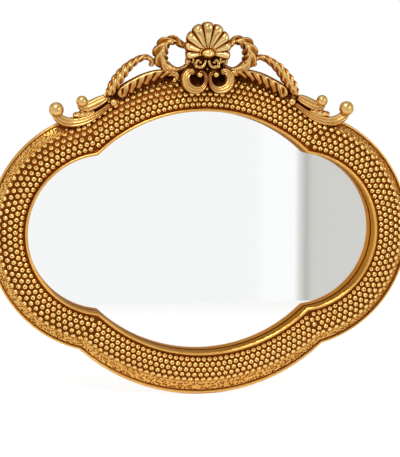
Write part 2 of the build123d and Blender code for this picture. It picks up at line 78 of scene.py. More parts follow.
LEAF_ARCH = [
    (45.0, 45.2, 4.4, 19.0), (42.5, 48.8, 3.6, 19.0), (45.1, 53.1, 4.4, 19.5), (52.9, 53.9, 5.8, 20.5),
    (60.4, 51.7, 7.2, 21.0), (67.6, 48.3, 8.8, 21.5), (74.5, 44.3, 9.6, 21.5), (81.3, 40.1, 8.8, 21.0),
    (87.7, 35.8, 5.5, 20.0),
]
SWAG_LEAF = [
    (26.9, 28.9, 3.8, 20.5), (24.2, 31.9, 3.2, 20.5), (26.1, 34.7, 3.8, 20.5), (31.7, 36.0, 4.8, 20.5),
    (38.7, 36.4, 6.1, 20.5), (46.6, 36.2, 7.2, 20.5), (55.0, 35.3, 8.1, 20.5), (63.5, 34.2, 8.3, 20.0),
    (72.0, 32.9, 8.5, 19.5), (80.3, 31.2, 6.4, 19.0),
]
UPPER_VOLUTE = [
    (89.8, 34.7, 5.4, 18.0), (97.5, 35.2, 7.8, 18.0), (105.4, 36.4, 8.0, 18.0), (111.3, 40.3, 7.0, 18.0),
    (109.5, 44.0, 5.6, 17.0),
]
LOWER_VOLUTE = [
    (90.7, 28.3, 2.8, 19.0), (102.6, 27.1, 4.2, 19.0), (112.8, 28.1, 6.0, 18.5), (121.4, 31.1, 6.8, 18.0),
    (128.5, 36.3, 7.2, 17.5), (132.2, 42.8, 7.2, 17.5), (132.5, 48.6, 6.6, 17.0),
    (129.6, 53.0, 6.0, 17.0),
]
VOLUTE_TUFT = [
    (106.0, 30.4, 3.6, 17.0), (111.4, 32.7, 6.4, 17.5), (117.1, 36.0, 6.4, 17.0), (122.5, 39.8, 3.0, 15.5),
]


def linear(hex_colour):
    """Linear red, green, blue and alpha of an sRGB hex colour."""
    shares = [int(hex_colour[place : place + 2], 16) / 255 for place in (0, 2, 4)]
    return [
        share / 12.92 if share <= 0.04045 else ((share + 0.055) / 1.055) ** 2.4 for share in shares
    ] + [1.0]


def metres(name, description, default):
    """Setting for a length."""
    return FloatProperty(name=name, description=description, default=default, unit="LENGTH")


def paint(name, description, default):
    """Setting for a colour, given as sRGB hex."""
    default = linear(default)
    return FloatVectorProperty(name=name, description=description, default=default, subtype="COLOR", size=4)


class MirrorFrameSizes(bpy.types.PropertyGroup):
    """Sizes of the frame."""

    sight_half_width: metres("Sight half width", "Middle to sight edge, sideways", 0.154)
    sight_half_height: metres("Sight half height", "Middle to sight edge, upwards", 0.1065)
    long_arc_radius: metres("Long arc radius", "Radius of the top and bottom arcs", 0.1335)
    side_arc_radius: metres("Side arc radius", "Radius of the two side arcs", 0.0695)
    band_width: metres("Band width", "Sight edge to outer rim", 0.0375)
    rim_rise: metres("Rim rise", "How far the rim stands further out at the top", 0.002)
    rim_draw: metres("Rim draw", "How far the rim is drawn in at the sides", 0.003)
    cusp_draw: metres("Cusp draw", "How far the rim is drawn in at its cusps", 0.001)
    crest_shift: metres("Crest shift", "How far right of the middle the shell was set", 0.0024)
    lip_width: metres("Lip width", "Width of the plain lip round the glass", 0.0026)
    lip_height: metres("Lip height", "Top of the lip above the back face", 0.022)
    dome_height: metres("Dome height", "Top of the beaded band above the back", 0.0204)
    rim_height: metres("Rim height", "Outer rim above the back face", 0.0088)
    rebate_width: metres("Rebate width", "Step behind the sight edge", 0.005)
    glass_seat: metres("Glass seat", "Face of the glass above the back", 0.008)


class MirrorBeads(bpy.types.PropertyGroup):
    """Beads on the band."""

    bead_radius: metres("Bead radius", "Radius of one bead", 0.00238)
    row_pitch: metres("Row pitch", "Distance between two rows", 0.0046)
    first_row: metres("First row", "Sight edge to the first row", 0.0062)
    rows: IntProperty(name="Rows", description="Number of full rows", default=5, min=1)
    long_pitch: metres("Pitch on long arcs", "Bead to bead in the middle row, top and bottom", 0.00538)
    side_pitch: metres("Pitch on side arcs", "Bead to bead in the middle row, at the sides", 0.00585)


class MirrorShell(bpy.types.PropertyGroup):
    """Scallop shell and its boss."""

    flutes: IntProperty(name="Flutes", description="Number of flutes", default=9, min=3)
    flute_pitch: FloatProperty(
        name="Flute pitch", description="Angle from flute to flute", default=radians(24), subtype="ANGLE"
    )
    top_reach: metres("Top reach", "Root to the top flute's end", 0.0274)
    side_reach: metres("Side reach", "Root to the lowest flutes' ends", 0.0198)
    crown_height: metres("Crown height", "Top of the flutes above the back", 0.032)


class MirrorFinish(bpy.types.PropertyGroup):
    """Colours and grain of the finishes."""

    gold: paint("Gold", "Bronze powder lacquer", "dba24e")
    worn_gold: paint("Rubbed gold", "Where the lacquer is rubbed bright", "f3c672")
    crest_gold: paint("Crest gold", "Leaves and scrolls of the crest", "d9a95e")
    pale_gold: paint("Pale gold", "Leaves of the crest where they are rubbed", "efcb86")
    # Paler gold of the beads, boss and shell: rubbed gilding, and partly a painted highlight
    polished_gold_and_highlight: paint("Polished gold", "Tops of the beads and the boss", "fee09a")
    edge_gold: paint("Edge gold", "Tint of the gold where it is seen along its surface", "e2b260")
    amber: paint("Amber wash", "Share of light that a half wash lets through", "cf9c62")
    umber: paint("Umber wash", "Share of light that the wash in the hollows lets through", "765026")
    casting_grain: metres("Casting grain", "Size of the grain in the casting", 0.0006)
    stipple_size: metres("Stipple size", "Distance between two punched dots", 0.0019)


class MirrorStage(bpy.types.PropertyGroup):
    """Table, light and camera."""

    camera_place: FloatVectorProperty(
        name="Camera place", description="Where the camera stands", subtype="XYZ", unit="LENGTH",
        default=(-0.21226, -1.38532, 0.14737),
    )
    camera_aim: FloatVectorProperty(
        name="Camera aim", description="The point in the middle of the view", subtype="XYZ", unit="LENGTH",
        default=(-0.00183, -0.0088, 0.00271),
    )
    lens: FloatProperty(name="Lens", description="Focal length in millimetres", default=142.34)
    key_power: FloatProperty(
        name="Key lamp", description="Power of the key lamp", default=13.0, unit="POWER"
    )
    fill_power: FloatProperty(
        name="Fill lamp", description="Power of the fill lamp", default=5.0, unit="POWER"
    )


# Frame geometry, in the plane of the wall


def frame_sizes():
    """The frame's settings."""
    return bpy.context.scene.mirror_frame


def arc_centres():
    """Drop of the long arcs' centres and shift of the side arcs' centres."""
    sizes = frame_sizes()
    return sizes.long_arc_radius - sizes.sight_half_height, sizes.sight_half_width - sizes.side_arc_radius


def cusp(out):
    """Corner in the upper right between the long and the side arc, at a distance out."""
    sizes = frame_sizes()
    drop, shift = arc_centres()
    long_reach, side_reach = sizes.long_arc_radius + out, sizes.side_arc_radius + out
    span = hypot(shift, drop)
    foot = (long_reach**2 - side_reach**2 + span**2) / (2 * span)
    rise = sqrt(long_reach**2 - foot**2)
    return foot * shift / span - rise * drop / span, foot * drop / span + rise * shift / span - drop


def out_from_sight(x, z):
    """Distance out from the sight edge of points, given as arrays."""
    sizes = frame_sizes()
    drop, shift = arc_centres()
    long_out = np.hypot(x, np.abs(z) + drop) - sizes.long_arc_radius
    side_out = np.hypot(np.abs(x) - shift, z) - sizes.side_arc_radius
    return np.minimum(long_out, side_out)


def on_long_arc(along, out):
    """Point (x, z) at a distance along the upper rim and out from the sight edge."""
    sizes = frame_sizes()
    turn = along / (sizes.long_arc_radius + sizes.band_width)
    reach = sizes.long_arc_radius + out
    return reach * np.sin(turn), reach * np.cos(turn) - arc_centres()[0]


def with_true_rim(x, z):
    """Places with the cove and the rim moved to the rim's own, flatter oval, as arrays."""
    sizes = frame_sizes()
    drop, shift = arc_centres()
    cusp_x, cusp_z = cusp(sizes.band_width)
    long_x, long_z = x, np.abs(z) + drop
    side_x, side_z = np.abs(x) - shift, z
    long_out = np.hypot(long_x, long_z) - sizes.long_arc_radius
    side_out = np.hypot(side_x, side_z) - sizes.side_arc_radius
    on_long = long_out < side_out
    part = np.clip((np.minimum(long_out, side_out) - COVE_FROM) / (sizes.band_width - COVE_FROM), 0, 1)
    long_turn = np.arctan2(np.abs(long_x), long_z) / atan2(cusp_x, cusp_z + drop)
    side_turn = np.arctan2(np.abs(side_z), side_x) / atan2(cusp_z, cusp_x - shift)
    long_move = sizes.rim_rise - (sizes.rim_rise + sizes.cusp_draw) * np.clip(long_turn, 0, 1) ** 2
    side_move = -sizes.rim_draw + (sizes.rim_draw - sizes.cusp_draw) * np.clip(side_turn, 0, 1) ** 2
    move = part * np.where(on_long, long_move, side_move)
    long_reach, side_reach = np.hypot(long_x, long_z), np.hypot(side_x, side_z)
    out_x = np.where(on_long, long_x / long_reach, side_x / side_reach * np.sign(x))
    out_z = np.where(on_long, long_z / long_reach * np.sign(z), side_z / side_reach)
    return x + move * out_x, z + move * out_z


# Middle and radius of the stippled hollow that the C-scrolls stand round
HOLLOW = (10.9 * MM, 28.0 * MM)
HOLLOW_RADIUS = 8.6 * MM
# Where the band changes, out from the sight edge
DOME_AT = 11.0 * MM
COVE_FROM = 26.5 * MM
COVE_HEIGHT = 13.0 * MM
RIM_WIDTH = 2.6 * MM
RIM_CREVICE = 1.4 * MM
# Root of the shell, tongue behind it, and the glass in the rebate
SHELL_ROOT = 50.1 * MM
TONGUE_FOOT = 31.5 * MM
TONGUE_TOP = 56.5 * MM
GLASS_OUT = 4.4 * MM


def band_height(out):
    """Height of the band's ground at distances out, dome and cove, as an array."""
    sizes = frame_sizes()
    fall = (sizes.dome_height - COVE_HEIGHT) / (COVE_FROM - DOME_AT) ** 2
    dome = sizes.dome_height - fall * (out - DOME_AT) ** 2
    crevice = sizes.rim_height - RIM_CREVICE
    rim_in = sizes.band_width - RIM_WIDTH
    share = np.clip((rim_in - out) / (rim_in - COVE_FROM), 0, 1)
    return np.where(out < COVE_FROM, dome, crevice + (COVE_HEIGHT - crevice) * share**1.3)


def in_hollow(x, z):
    """Whether places, given as arrays, lie in one of the two stippled hollows."""
    hollow_x, hollow_z = on_long_arc(*HOLLOW)
    return np.hypot(np.abs(x) - hollow_x, z - hollow_z) < HOLLOW_RADIUS


# Making meshes


def start_clear():
    """Leaves edit mode and selects nothing."""
    if bpy.context.object and bpy.context.object.mode != "OBJECT":
        bpy.ops.object.mode_set(mode="OBJECT")
    bpy.ops.object.select_all(action="DESELECT")


def choose(*objects):
    """Selects these objects alone, the first one active."""
    start_clear()
    for one in objects:
        one.select_set(True)
    bpy.context.view_layer.objects.active = objects[0]


def applied(piece):
    """The piece, selected alone, with its place, turn and scale put into its mesh."""
    choose(piece)
    bpy.ops.object.transform_apply(location=True, rotation=True, scale=True)
    return piece


def settle(piece, name, body="frame", smooth_angle=50):
    """Names a finished piece, sets it at the origin, shades it and lets it ride on its body."""
    applied(piece)
    bpy.ops.object.shade_smooth_by_angle(angle=radians(smooth_angle))
    piece.name = name
    piece.data.name = name
    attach(piece, body)


def turn_outwards():
    """Turns every face of the mesh in edit mode outwards, and leaves edit mode."""
    bpy.ops.mesh.select_all(action="SELECT")
    bpy.ops.mesh.normals_make_consistent(inside=False)
    bpy.ops.object.mode_set(mode="OBJECT")


def close_up(piece):
    """Merges what coincides and turns every face outwards."""
    choose(piece)
    bpy.ops.object.mode_set(mode="EDIT")
    bpy.ops.mesh.select_all(action="SELECT")
    bpy.ops.mesh.remove_doubles(threshold=0.00001)
    bpy.ops.mesh.dissolve_degenerate(threshold=0.000001)
    turn_outwards()


def joined(*pieces):
    """Pieces made one object."""
    choose(*pieces)
    bpy.ops.object.join()
    return bpy.context.object


def copied(pattern, places):
    """Copies of a pattern, each with its own mesh, set by matrices and made one object."""
    copies = []
    for place in places:
        copy = bpy.data.objects.new(pattern.name, pattern.data.copy())
        copy.data.transform(place)
        bpy.context.scene.collection.objects.link(copy)
        copies.append(copy)
    bpy.data.objects.remove(pattern)
    return joined(*copies)


def mirrored(piece, axis=0):
    """Copy with its own mesh on the other side of the middle, its faces turned outwards."""
    other = piece.copy()
    other.data = piece.data.copy()
    bpy.context.scene.collection.objects.link(other)
    scale = [1, 1, 1]
    scale[axis] = -1
    other.data.transform(Matrix.Diagonal((*scale, 1)))
    other.data.flip_normals()
    return other


def drawn_line(points):
    """Edge line through points, extruded from one corner."""
    start_clear()
    bpy.ops.mesh.primitive_plane_add(size=0.001, location=points[0])
    bpy.ops.object.mode_set(mode="EDIT")
    bpy.ops.mesh.merge(type="CENTER")
    for near, far in zip(points, points[1:]):
        step = Vector(far) - Vector(near)
        bpy.ops.mesh.extrude_vertices_move(TRANSFORM_OT_translate={"value": step})
    bpy.ops.mesh.select_all(action="SELECT")
    return bpy.context.object


def bent_grid(places, patina):
    """Closed skin from a flat grid bent to places (rows, columns, xyz), with its patina values."""
    rows, columns = places.shape[:2]
    start_clear()
    bpy.ops.mesh.primitive_grid_add(x_subdivisions=columns - 1, y_subdivisions=rows - 1, size=0.1)
    piece = bpy.context.object
    piece.data.vertices.foreach_set("co", places.astype(np.float32).ravel())
    set_layer(piece, np.clip(patina, 0, 1))
    piece.data.update()
    close_up(piece)
    return piece


def set_layer(piece, values, name="patina"):
    """Gives the corners of a piece their values in a layer, or all of them the same value."""
    layer = piece.data.attributes.get(name) or piece.data.attributes.new(name, "FLOAT", "POINT")
    values = np.zeros(len(piece.data.vertices)) + np.ravel(values)
    layer.data.foreach_set("value", values.astype(np.float32))


def corners(piece):
    """Places of a piece's corners as arrays x, y and z."""
    places = np.zeros(len(piece.data.vertices) * 3, np.float32)
    piece.data.vertices.foreach_get("co", places)
    return places.reshape(-1, 3).astype(float).T


def sphere(segments, rings, radii, place=(0, 0, 0)):
    """Sphere with a radius for each axis, without any wash."""
    start_clear()
    bpy.ops.mesh.primitive_uv_sphere_add(segments=segments, ring_count=rings, radius=1, location=(0, 0, 0))
    piece = bpy.context.object
    piece.data.transform(Matrix.Translation(place) @ Matrix.Diagonal((*radii, 1)))
    set_layer(piece, 0)
    return piece


def ball(along, out, radius, middle_height):
    """Rolled end of a scroll: a sphere that is darker towards its back."""
    x, z = on_long_arc(along * MM, out * MM)
    piece = sphere(40, 24, [radius * MM] * 3, (x, -middle_height * MM, z))
    depth = (corners(piece)[1] + middle_height * MM) / (radius * MM)
    set_layer(piece, np.clip(0.9 * depth + 0.25, 0, 1))
    return piece


# Carving: leaves and scrolls


def smooth_through(values, knots, samples):
    """Values of a natural cubic spline through the knots, at the samples."""
    gaps = np.diff(knots)
    count = len(knots)
    system = np.eye(count)
    right = np.zeros(count)
    for place in range(1, count - 1):
        near, far = gaps[place - 1], gaps[place]
        system[place, place - 1 : place + 2] = near, 2 * (near + far), far
        slopes = np.diff(values)[place - 1 : place + 1] / gaps[place - 1 : place + 1]
        right[place] = 6 * (slopes[1] - slopes[0])
    bends = np.linalg.solve(system, right)
    spot = np.clip(np.searchsorted(knots, samples, side="right") - 1, 0, count - 2)
    before, after = samples - knots[spot], knots[spot + 1] - samples
    gap = gaps[spot]
    return (
        (bends[spot] * after**3 + bends[spot + 1] * before**3) / (6 * gap)
        + (values[spot] / gap - bends[spot] * gap / 6) * after
        + (values[spot + 1] / gap - bends[spot + 1] * gap / 6) * before
    )


def carved(
    stations, steps=140, across=27, spine=0.0, side=0, lobes=0.0, lean=1.0, cut=0.2, relief=0.9, veins=0.0,
    vein_depth=0.2, ridges=0.0, ridge_depth=0.4, back=9.0, skew=0.0, bare=(0.0, 0.0), pointed=0.0, onset=2.2,
):
    """Carved leaf or scroll through its stations.

    Lobes are cut on the left (1), the right (-1) or both sides (0) of its way, leaning forward
    from the spine; veins run with the lobes and ridges run lengthwise. Depths are millimetres.
    """
    along, out, width, crest = np.array(stations, float).T
    x, z = (places / MM for places in on_long_arc(along * MM, out * MM))
    knots = np.concatenate([[0], np.cumsum(np.hypot(np.diff(x), np.diff(z)))])
    share = np.linspace(0, 1, steps)
    # More sections where the ends are rounded
    share = share - 0.07 * np.sin(2 * pi * share)
    samples = share * knots[-1]
    centre_x, centre_z, width, crest = (
        smooth_through(values, knots, samples) for values in (x, z, width, crest)
    )
    half = np.maximum(width, 1.0) / 2
    heading_x, heading_z = np.gradient(centre_x, samples), np.gradient(centre_z, samples)
    size = np.hypot(heading_x, heading_z)

    # Rounded ends
    start = np.clip(samples / half[0], 0, 1)
    end = np.clip((knots[-1] - samples) / half[-1], 0, 1)
    close = np.sqrt(1 - (1 - start) ** 2) * np.sqrt(1 - (1 - end) ** 2)

    s = np.sin(np.linspace(-pi / 2, pi / 2, across))[None, :]
    u = share[:, None]
    off = np.where(s > spine, (s - spine) / (1 - spine), (spine - s) / (1 + spine))
    lobed = np.ones_like(s) if side == 0 else np.clip((s - spine) * side * 4, 0, 1)
    phase = lobes * u - lean * off * lobed + skew * s
    wave = np.abs(np.sin(pi * phase)) if lobes else np.ones_like(phase)
    fade = np.clip((u - bare[0]) * 14, 0, 1) * np.clip((1 - bare[1] - u) * 14, 0, 1)
    tooth = (1 - pointed) * wave**0.55 + pointed * (1 - np.abs(2 * (phase % 1) - 1))
    reach = 1 - cut * lobed * (1 - tooth) * off**1.5 * fade
    rise = np.sqrt(np.clip(1 - np.abs(s) ** 2.4, 0, 1))
    edge = np.maximum(crest - 0.84 * half, back + 1.5)[:, None]
    height = edge + rise * (crest[:, None] - edge) * close[:, None] ** 0.5
    grooves = relief * lobed * (1 - wave**0.8) * np.clip(off * onset, 0, 1) * fade
    fine = vein_depth * (0.5 - 0.5 * np.cos(2 * pi * veins * phase)) * lobed * np.clip(off * 2, 0, 1)
    lines = ridge_depth * (0.5 - 0.5 * np.cos(2 * pi * ridges * s)) * (1 - np.abs(s) ** 4)
    height = height - (grooves + fine + lines) * close[:, None]
    patina = (grooves / relief) ** 1.5 + 0.5 * (fine / vein_depth) ** 2 + 0.45 * (lines / ridge_depth) ** 3
    patina = patina + 0.5 * np.clip(np.abs(s) - 0.85, 0, 1) / 0.15

    off_side = (half * close / size)[:, None] * s * reach
    face_x = centre_x[:, None] - heading_z[:, None] * off_side
    face_z = centre_z[:, None] + heading_x[:, None] * off_side
    # Sides fall to the back, drawn in a little, and the back closes
    places, washes = [np.stack([face_x, -height, face_z], axis=2)], [patina]
    levels = ((1.0, 0.55), (0.94, 0.15), (0.8, 0.0))
    for edge_at, draw, level in [(-1, *pair) for pair in levels] + [(0, *pair) for pair in levels[::-1]]:
        wall_x = centre_x + (face_x[:, edge_at] - centre_x) * draw
        wall_z = centre_z + (face_z[:, edge_at] - centre_z) * draw
        wall_height = back + (height[:, edge_at] - back) * level
        places.append(np.stack([wall_x, -wall_height, wall_z], axis=1)[:, None, :])
        washes.append(np.full((steps, 1), 0.9 - 0.3 * level))
    grid = np.concatenate(places + [places[0][:, :1, :]], axis=1)
    # Both ends draw together to one point
    for row in (0, -1):
        grid[row] = grid[row].mean(axis=0)
    return bent_grid(grid * MM, np.concatenate(washes + [patina[:, :1]], axis=1))


def bolder(stations, share):
    """The same stations with a broader leaf."""
    return [(along, out, width * share, crest) for along, out, width, crest in stations]


# Materials


def fill(tree, node, inputs):
    """Links sockets to a node's inputs, or sets plain values, by name, by number or in order."""
    for place, source in inputs.items() if isinstance(inputs, dict) else enumerate(inputs):
        if isinstance(source, bpy.types.NodeSocket):
            tree.links.new(source, node.inputs[place])
        else:
            node.inputs[place].default_value = source


def add_node(tree, kind, output=None, inputs=(), **settings):
    """Adds a node with its settings and inputs; returns one of its outputs, or the node itself.

    The inputs of a map range are, in order, value, from min, from max, to min and to max.
    """
    made = tree.nodes.new("ShaderNode" + kind)
    for setting, value in settings.items():
        setattr(made, setting, value)
    fill(tree, made, inputs)
    return made if output is None else made.outputs[output]


def fresh_material(name):
    """Empty material with a principled surface: returns material, tree and shader."""
    material = bpy.data.materials.new(name)
    material.use_nodes = True
    tree = material.node_tree
    tree.nodes.clear()
    shader = add_node(tree, "BsdfPrincipled")
    add_node(tree, "OutputMaterial", inputs=[shader.outputs["BSDF"]])
    return material, tree, shader


def give(piece, material):
    """Puts one material on a piece."""
    piece.data.materials.clear()
    piece.data.materials.append(material)


def gilt_material(kind, name):
    """Bronze powder lacquer over cast resin, with an umber wash wiped off the high places.

    The eye gets bright rubbed ridges, warm mid gold slopes and dark brown hollows, the hollows and
    the joins between pieces deepened by ambient occlusion as painted shade. The stippled kind adds
    the punched dots of the cove, the rubbed kind is polished brighter, its paler gold partly a painted
    highlight.
    """
    finish = bpy.context.scene.mirror_finish
    material, tree, shader = fresh_material(name)
    place = add_node(tree, "TexCoord", "Object")
    wash = add_node(tree, "Attribute", "Fac", attribute_name="patina")
    streaks = add_node(tree, "TexNoise", "Fac", {"Vector": place, "Scale": 1 / 0.005, "Detail": 2.0})
    if kind != "rubbed":
        # Ambient occlusion darkens hollows and the joins between pieces: painted shade, added to the umber
        # wash
        hollow = add_node(tree, "AmbientOcclusion", "AO", {"Distance": 0.003}, samples=6)
        hollow = add_node(tree, "MapRange", "Result", [hollow, 0.6, 0.1, 0.0, 1.0])
        wash = add_node(tree, "Math", "Value", [wash, hollow], operation="MAXIMUM")
    uneven = add_node(tree, "MapRange", "Result", [streaks, 0.3, 0.7, 0.85, 1.1])
    wash = add_node(tree, "Math", "Value", [wash, uneven], operation="MULTIPLY", use_clamp=True)
    grain = {"Vector": place, "Scale": 1 / finish.casting_grain, "Detail": 2.0}
    height = grain = add_node(tree, "TexNoise", "Fac", grain)
    strength = 0.05
    if kind == "stippled":
        strength = 0.35
        dots = {"Vector": place, "Scale": 1 / finish.stipple_size}
        dots = add_node(tree, "TexVoronoi", "Distance", dots)
        pits = add_node(tree, "MapRange", "Result", [dots, 0.52, 0.34, 0.0, 1.0])
        zone = add_node(tree, "Attribute", "Fac", attribute_name="stipple")
        speckle = add_node(tree, "Math", "Value", [pits, zone], operation="MULTIPLY")
        wash = add_node(tree, "Math", "Value", [wash, speckle], operation="MAXIMUM")
        height = add_node(tree, "Math", "Value", [speckle, -4.0, grain], operation="MULTIPLY_ADD")
    # The rubbed kind (beads, boss) and the polished kind (shell) take paler golds: partly rubbed gilding,
    # partly a painted highlight
    low, high, smooth = {
        "plain": (finish.crest_gold, finish.pale_gold, 0.27),
        "stippled": (finish.gold, finish.worn_gold, 0.27),
        "rubbed": (finish.worn_gold, finish.polished_gold_and_highlight, 0.2),
        "polished": (finish.pale_gold, finish.polished_gold_and_highlight, 0.16),
    }[kind]
    rubbed = add_node(tree, "Mix", 2, {0: streaks, 6: low, 7: high}, data_type="RGBA")
    # Half-washed slopes are orange brown, full hollows dark umber; the wash carries the painted occlusion
    # shade too
    tones = add_node(tree, "ValToRGB", inputs=[wash])
    tones.color_ramp.elements[0].color = (1, 1, 1, 1)
    tones.color_ramp.elements[1].color = finish.umber
    tones.color_ramp.elements.new(0.5).color = finish.amber
    mixed = {0: 1.0, 6: rubbed, 7: tones.outputs["Color"]}
    bump = {"Height": height, "Strength": strength, "Distance": 0.0002}
    fill(tree, shader, {
        "Base Color": add_node(tree, "Mix", 2, mixed, data_type="RGBA", blend_type="MULTIPLY"),
        "Metallic": add_node(tree, "MapRange", "Result", [wash, 0.0, 1.0, 1.0, 0.8]),
        "Roughness": add_node(tree, "MapRange", "Result", [wash, 0.0, 1.0, smooth, 0.55]),
        "Normal": add_node(tree, "Bump", "Normal", bump),
        # Seen along the surface the gold stays golden instead of turning white
        "Specular Tint": finish.edge_gold,
        "Coat Weight": 0.03,
        "Coat Roughness": 0.12,
    })
    return material


GILDINGS = {
    "plain": "bronze-powder gilding",
    "stippled": "stippled bronze-powder gilding",
    "rubbed": "rubbed bronze-powder gilding",
    "polished": "polished bronze-powder gilding",
}


def gilt(kind="plain"):
    """One kind of the gilt material, made once."""
    return bpy.data.materials.get(GILDINGS[kind]) or gilt_material(kind, GILDINGS[kind])


def grained_material(name, light, dark, grain, metallic, rough, bump, stretch=(1, 1, 1)):
    """Material of two tones in a grain of a real size, with uneven gloss and a fine bump."""
    material, tree, shader = fresh_material(name)
    place = add_node(tree, "TexCoord", "Object")
    place = add_node(tree, "Mapping", "Vector", {"Vector": place, "Scale": stretch})
    grains = add_node(tree, "TexNoise", "Fac", {"Vector": place, "Scale": 1 / grain, "Detail": 4.0})
    share = add_node(tree, "MapRange", "Result", [grains, 0.3, 0.7])
    tones = {0: share, 6: linear(dark), 7: linear(light)}
    bump = {"Height": grains, "Strength": bump, "Distance": 0.0002}
    fill(tree, shader, {
        "Base Color": add_node(tree, "Mix", 2, tones, data_type="RGBA"),
        "Roughness": add_node(tree, "MapRange", "Result", [grains, 0.0, 1.0, *rough]),
        "Normal": add_node(tree, "Bump", "Normal", bump),
        "Metallic": metallic,
    })
    return material


def dress(node, material):
    """Gives a node of the part a better material."""
    give(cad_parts[node], material)


def gild(piece, name, kind="plain", node=None, aside=0.0, smooth_angle=50):
    """Finishes a gilt piece, moved with the shell by a share of its way, standing for its node."""
    settle(piece, name, smooth_angle=smooth_angle)
    piece.data.transform(Matrix.Translation((aside * frame_sizes().crest_shift, 0, 0)))
    give(piece, gilt(kind))
    if node:
        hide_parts(node)


def both_sides(piece, name, aside=0.0):
    """Finishes a right-hand ornament and its left-hand copy, each standing for its node."""
    for side, one in (("left", mirrored(applied(piece))), ("right", piece)):
        gild(one, f"carved_{name}_{side}", node=f"{name}_{side}", aside=aside)


# Operators


class MIRROR_OT_frame(bpy.types.Operator):
    """Spin the frame's section round its four arcs, with true mitres at the cusps"""

    bl_idname = "mirror.frame"
    bl_label = "Frame"

    def section(self):
        """Section of the frame as (out, height), once round."""
        sizes = frame_sizes()
        lip_top, lip_width = sizes.lip_height, sizes.lip_width
        line = [(0, sizes.glass_seat), (0, sizes.glass_seat + 0.2 * MM), (0, lip_top - 2.2 * MM)]
        for step in range(9):
            turn = pi * step / 8
            line.append((lip_width / 2 * (1 - cos(turn)), lip_top - 1.5 * MM + 1.5 * MM * sin(turn)))
        rim_in, rim_out, rim = sizes.band_width - RIM_WIDTH, sizes.band_width, sizes.rim_height
        outs = [np.linspace(lip_width, COVE_FROM, 16), np.linspace(COVE_FROM, rim_in, 8)[1:]]
        line += [(out, float(band_height(np.array(out)))) for out in np.concatenate(outs)]
        for step in range(8):
            turn = pi * step / 7
            middle = (rim_in + rim_out) / 2
            line.append((middle - RIM_WIDTH / 2 * cos(turn), rim - 0.9 * MM + 0.9 * MM * sin(turn)))
        line += [(rim_out, 0.6 * MM), (rim_out - 0.6 * MM, 0), (sizes.rebate_width, 0)]
        line += [(sizes.rebate_width, sizes.glass_seat)]
        return line

    def arc(self, centre_x, centre_z, radius, turn, steps):
        """One arc: the section spun about its centre, both ends then drawn out to the mitres."""
        half = radians(39.4) if centre_x == 0 else radians(75.4)
        a, b = sin(turn - half), cos(turn - half)
        points = [
            (centre_x + (radius + out) * a, -height, centre_z + (radius + out) * b)
            for out, height in self.section()
        ]
        piece = drawn_line(points)
        mesh = bmesh.from_edit_mesh(piece.data)
        mesh.verts.ensure_lookup_table()
        mesh.edges.new((mesh.verts[len(mesh.verts) - 1], mesh.verts[0]))
        bmesh.update_edit_mesh(piece.data)
        bpy.ops.mesh.select_all(action="SELECT")
        bpy.ops.mesh.spin(steps=steps, angle=-2 * half, center=(centre_x, 0, centre_z), axis=(0, 1, 0))
        self.draw_to_mitre(piece, centre_x, centre_z, radius)
        bpy.ops.object.mode_set(mode="OBJECT")
        return applied(piece)

    def draw_to_mitre(self, piece, centre_x, centre_z, radius):
        """Extrudes the two open ends and sets each corner on the mitre."""
        bpy.ops.mesh.select_all(action="DESELECT")
        bpy.ops.mesh.select_mode(type="VERT")
        bpy.ops.mesh.select_non_manifold(
            extend=False, use_wire=False, use_multi_face=False, use_verts=False
        )
        bpy.ops.mesh.extrude_edges_move()
        mesh = bmesh.from_edit_mesh(piece.data)
        for vertex in mesh.verts:
            if vertex.select:
                place = piece.matrix_world @ vertex.co
                out = hypot(place.x - centre_x, place.z - centre_z) - radius
                x, z = cusp(out)
                side_x, side_z = (1 if place.x > 0 else -1), (1 if place.z > 0 else -1)
                place.x, place.z = x * side_x, z * side_z
                vertex.co = piece.matrix_world.inverted() @ place
        bmesh.update_edit_mesh(piece.data)

    def execute(self, context):
        sizes = frame_sizes()
        drop, shift = arc_centres()
        top = self.arc(0, -drop, sizes.long_arc_radius, 0, 96)
        right = self.arc(shift, 0, sizes.side_arc_radius, pi / 2, 72)
        ring = joined(top, mirrored(top, axis=2), right, mirrored(right, axis=0))
        close_up(ring)
        self.wash(ring)
        self.move_rim(ring)
        piece = joined(ring, self.tongue())
        gild(piece, "gilt_frame", "stippled", "frame_casting", smooth_angle=40)
        return {"FINISHED"}

    def tongue(self):
        """Round-topped tongue behind the shell, set aside with it, washed dark as painted shade behind the
        crest.
        """
        start_clear()
        foot, top = on_long_arc(0, TONGUE_FOOT)[1], on_long_arc(0, TONGUE_TOP)[1]
        place = (0, -7.25 * MM, top)
        bpy.ops.mesh.primitive_cylinder_add(
            vertices=48, radius=12.5 * MM, depth=9.5 * MM, location=place, rotation=(pi / 2, 0, 0)
        )
        piece = applied(bpy.context.object)
        # The lower half of the disc is drawn straight down to the ring
        for vertex in piece.data.vertices:
            if vertex.co.z < top - 0.01 * MM:
                vertex.co.x = 18 * MM * np.sign(vertex.co.x) if abs(vertex.co.x) > 0.01 * MM else 0
                vertex.co.z = foot
        close_up(piece)
        choose(piece)
        bevel = piece.modifiers.new("Edges", "BEVEL")
        bevel.width = 0.8 * MM
        bevel.segments = 3
        bpy.ops.object.modifier_apply(modifier=bevel.name)
        # Washed dark all over: painted shade, so that the tongue reads as the shadow behind the crest
        set_layer(piece, 0.9)
        piece.data.transform(Matrix.Translation((frame_sizes().crest_shift, 0, 0)))
        return piece

    def wash(self, piece):
        """Patina and stipple by the place across the band."""
        sizes = frame_sizes()
        x, y, z = corners(piece)
        height, out = -y, out_from_sight(x, z)
        front = height > band_height(np.clip(out, 4 * MM, sizes.band_width)) - 0.6 * MM
        rim_in = sizes.band_width - RIM_WIDTH
        beaded = (out > sizes.lip_width + 0.1 * MM) & (out < COVE_FROM + 0.6 * MM) & front
        crevice = (out > rim_in - 1.0 * MM) & (out < rim_in + 0.4 * MM) & front
        crevice &= height < sizes.rim_height - 0.4 * MM
        patina = np.where(beaded, 1.0, 0.0)
        patina = np.where(crevice, 0.7, patina)
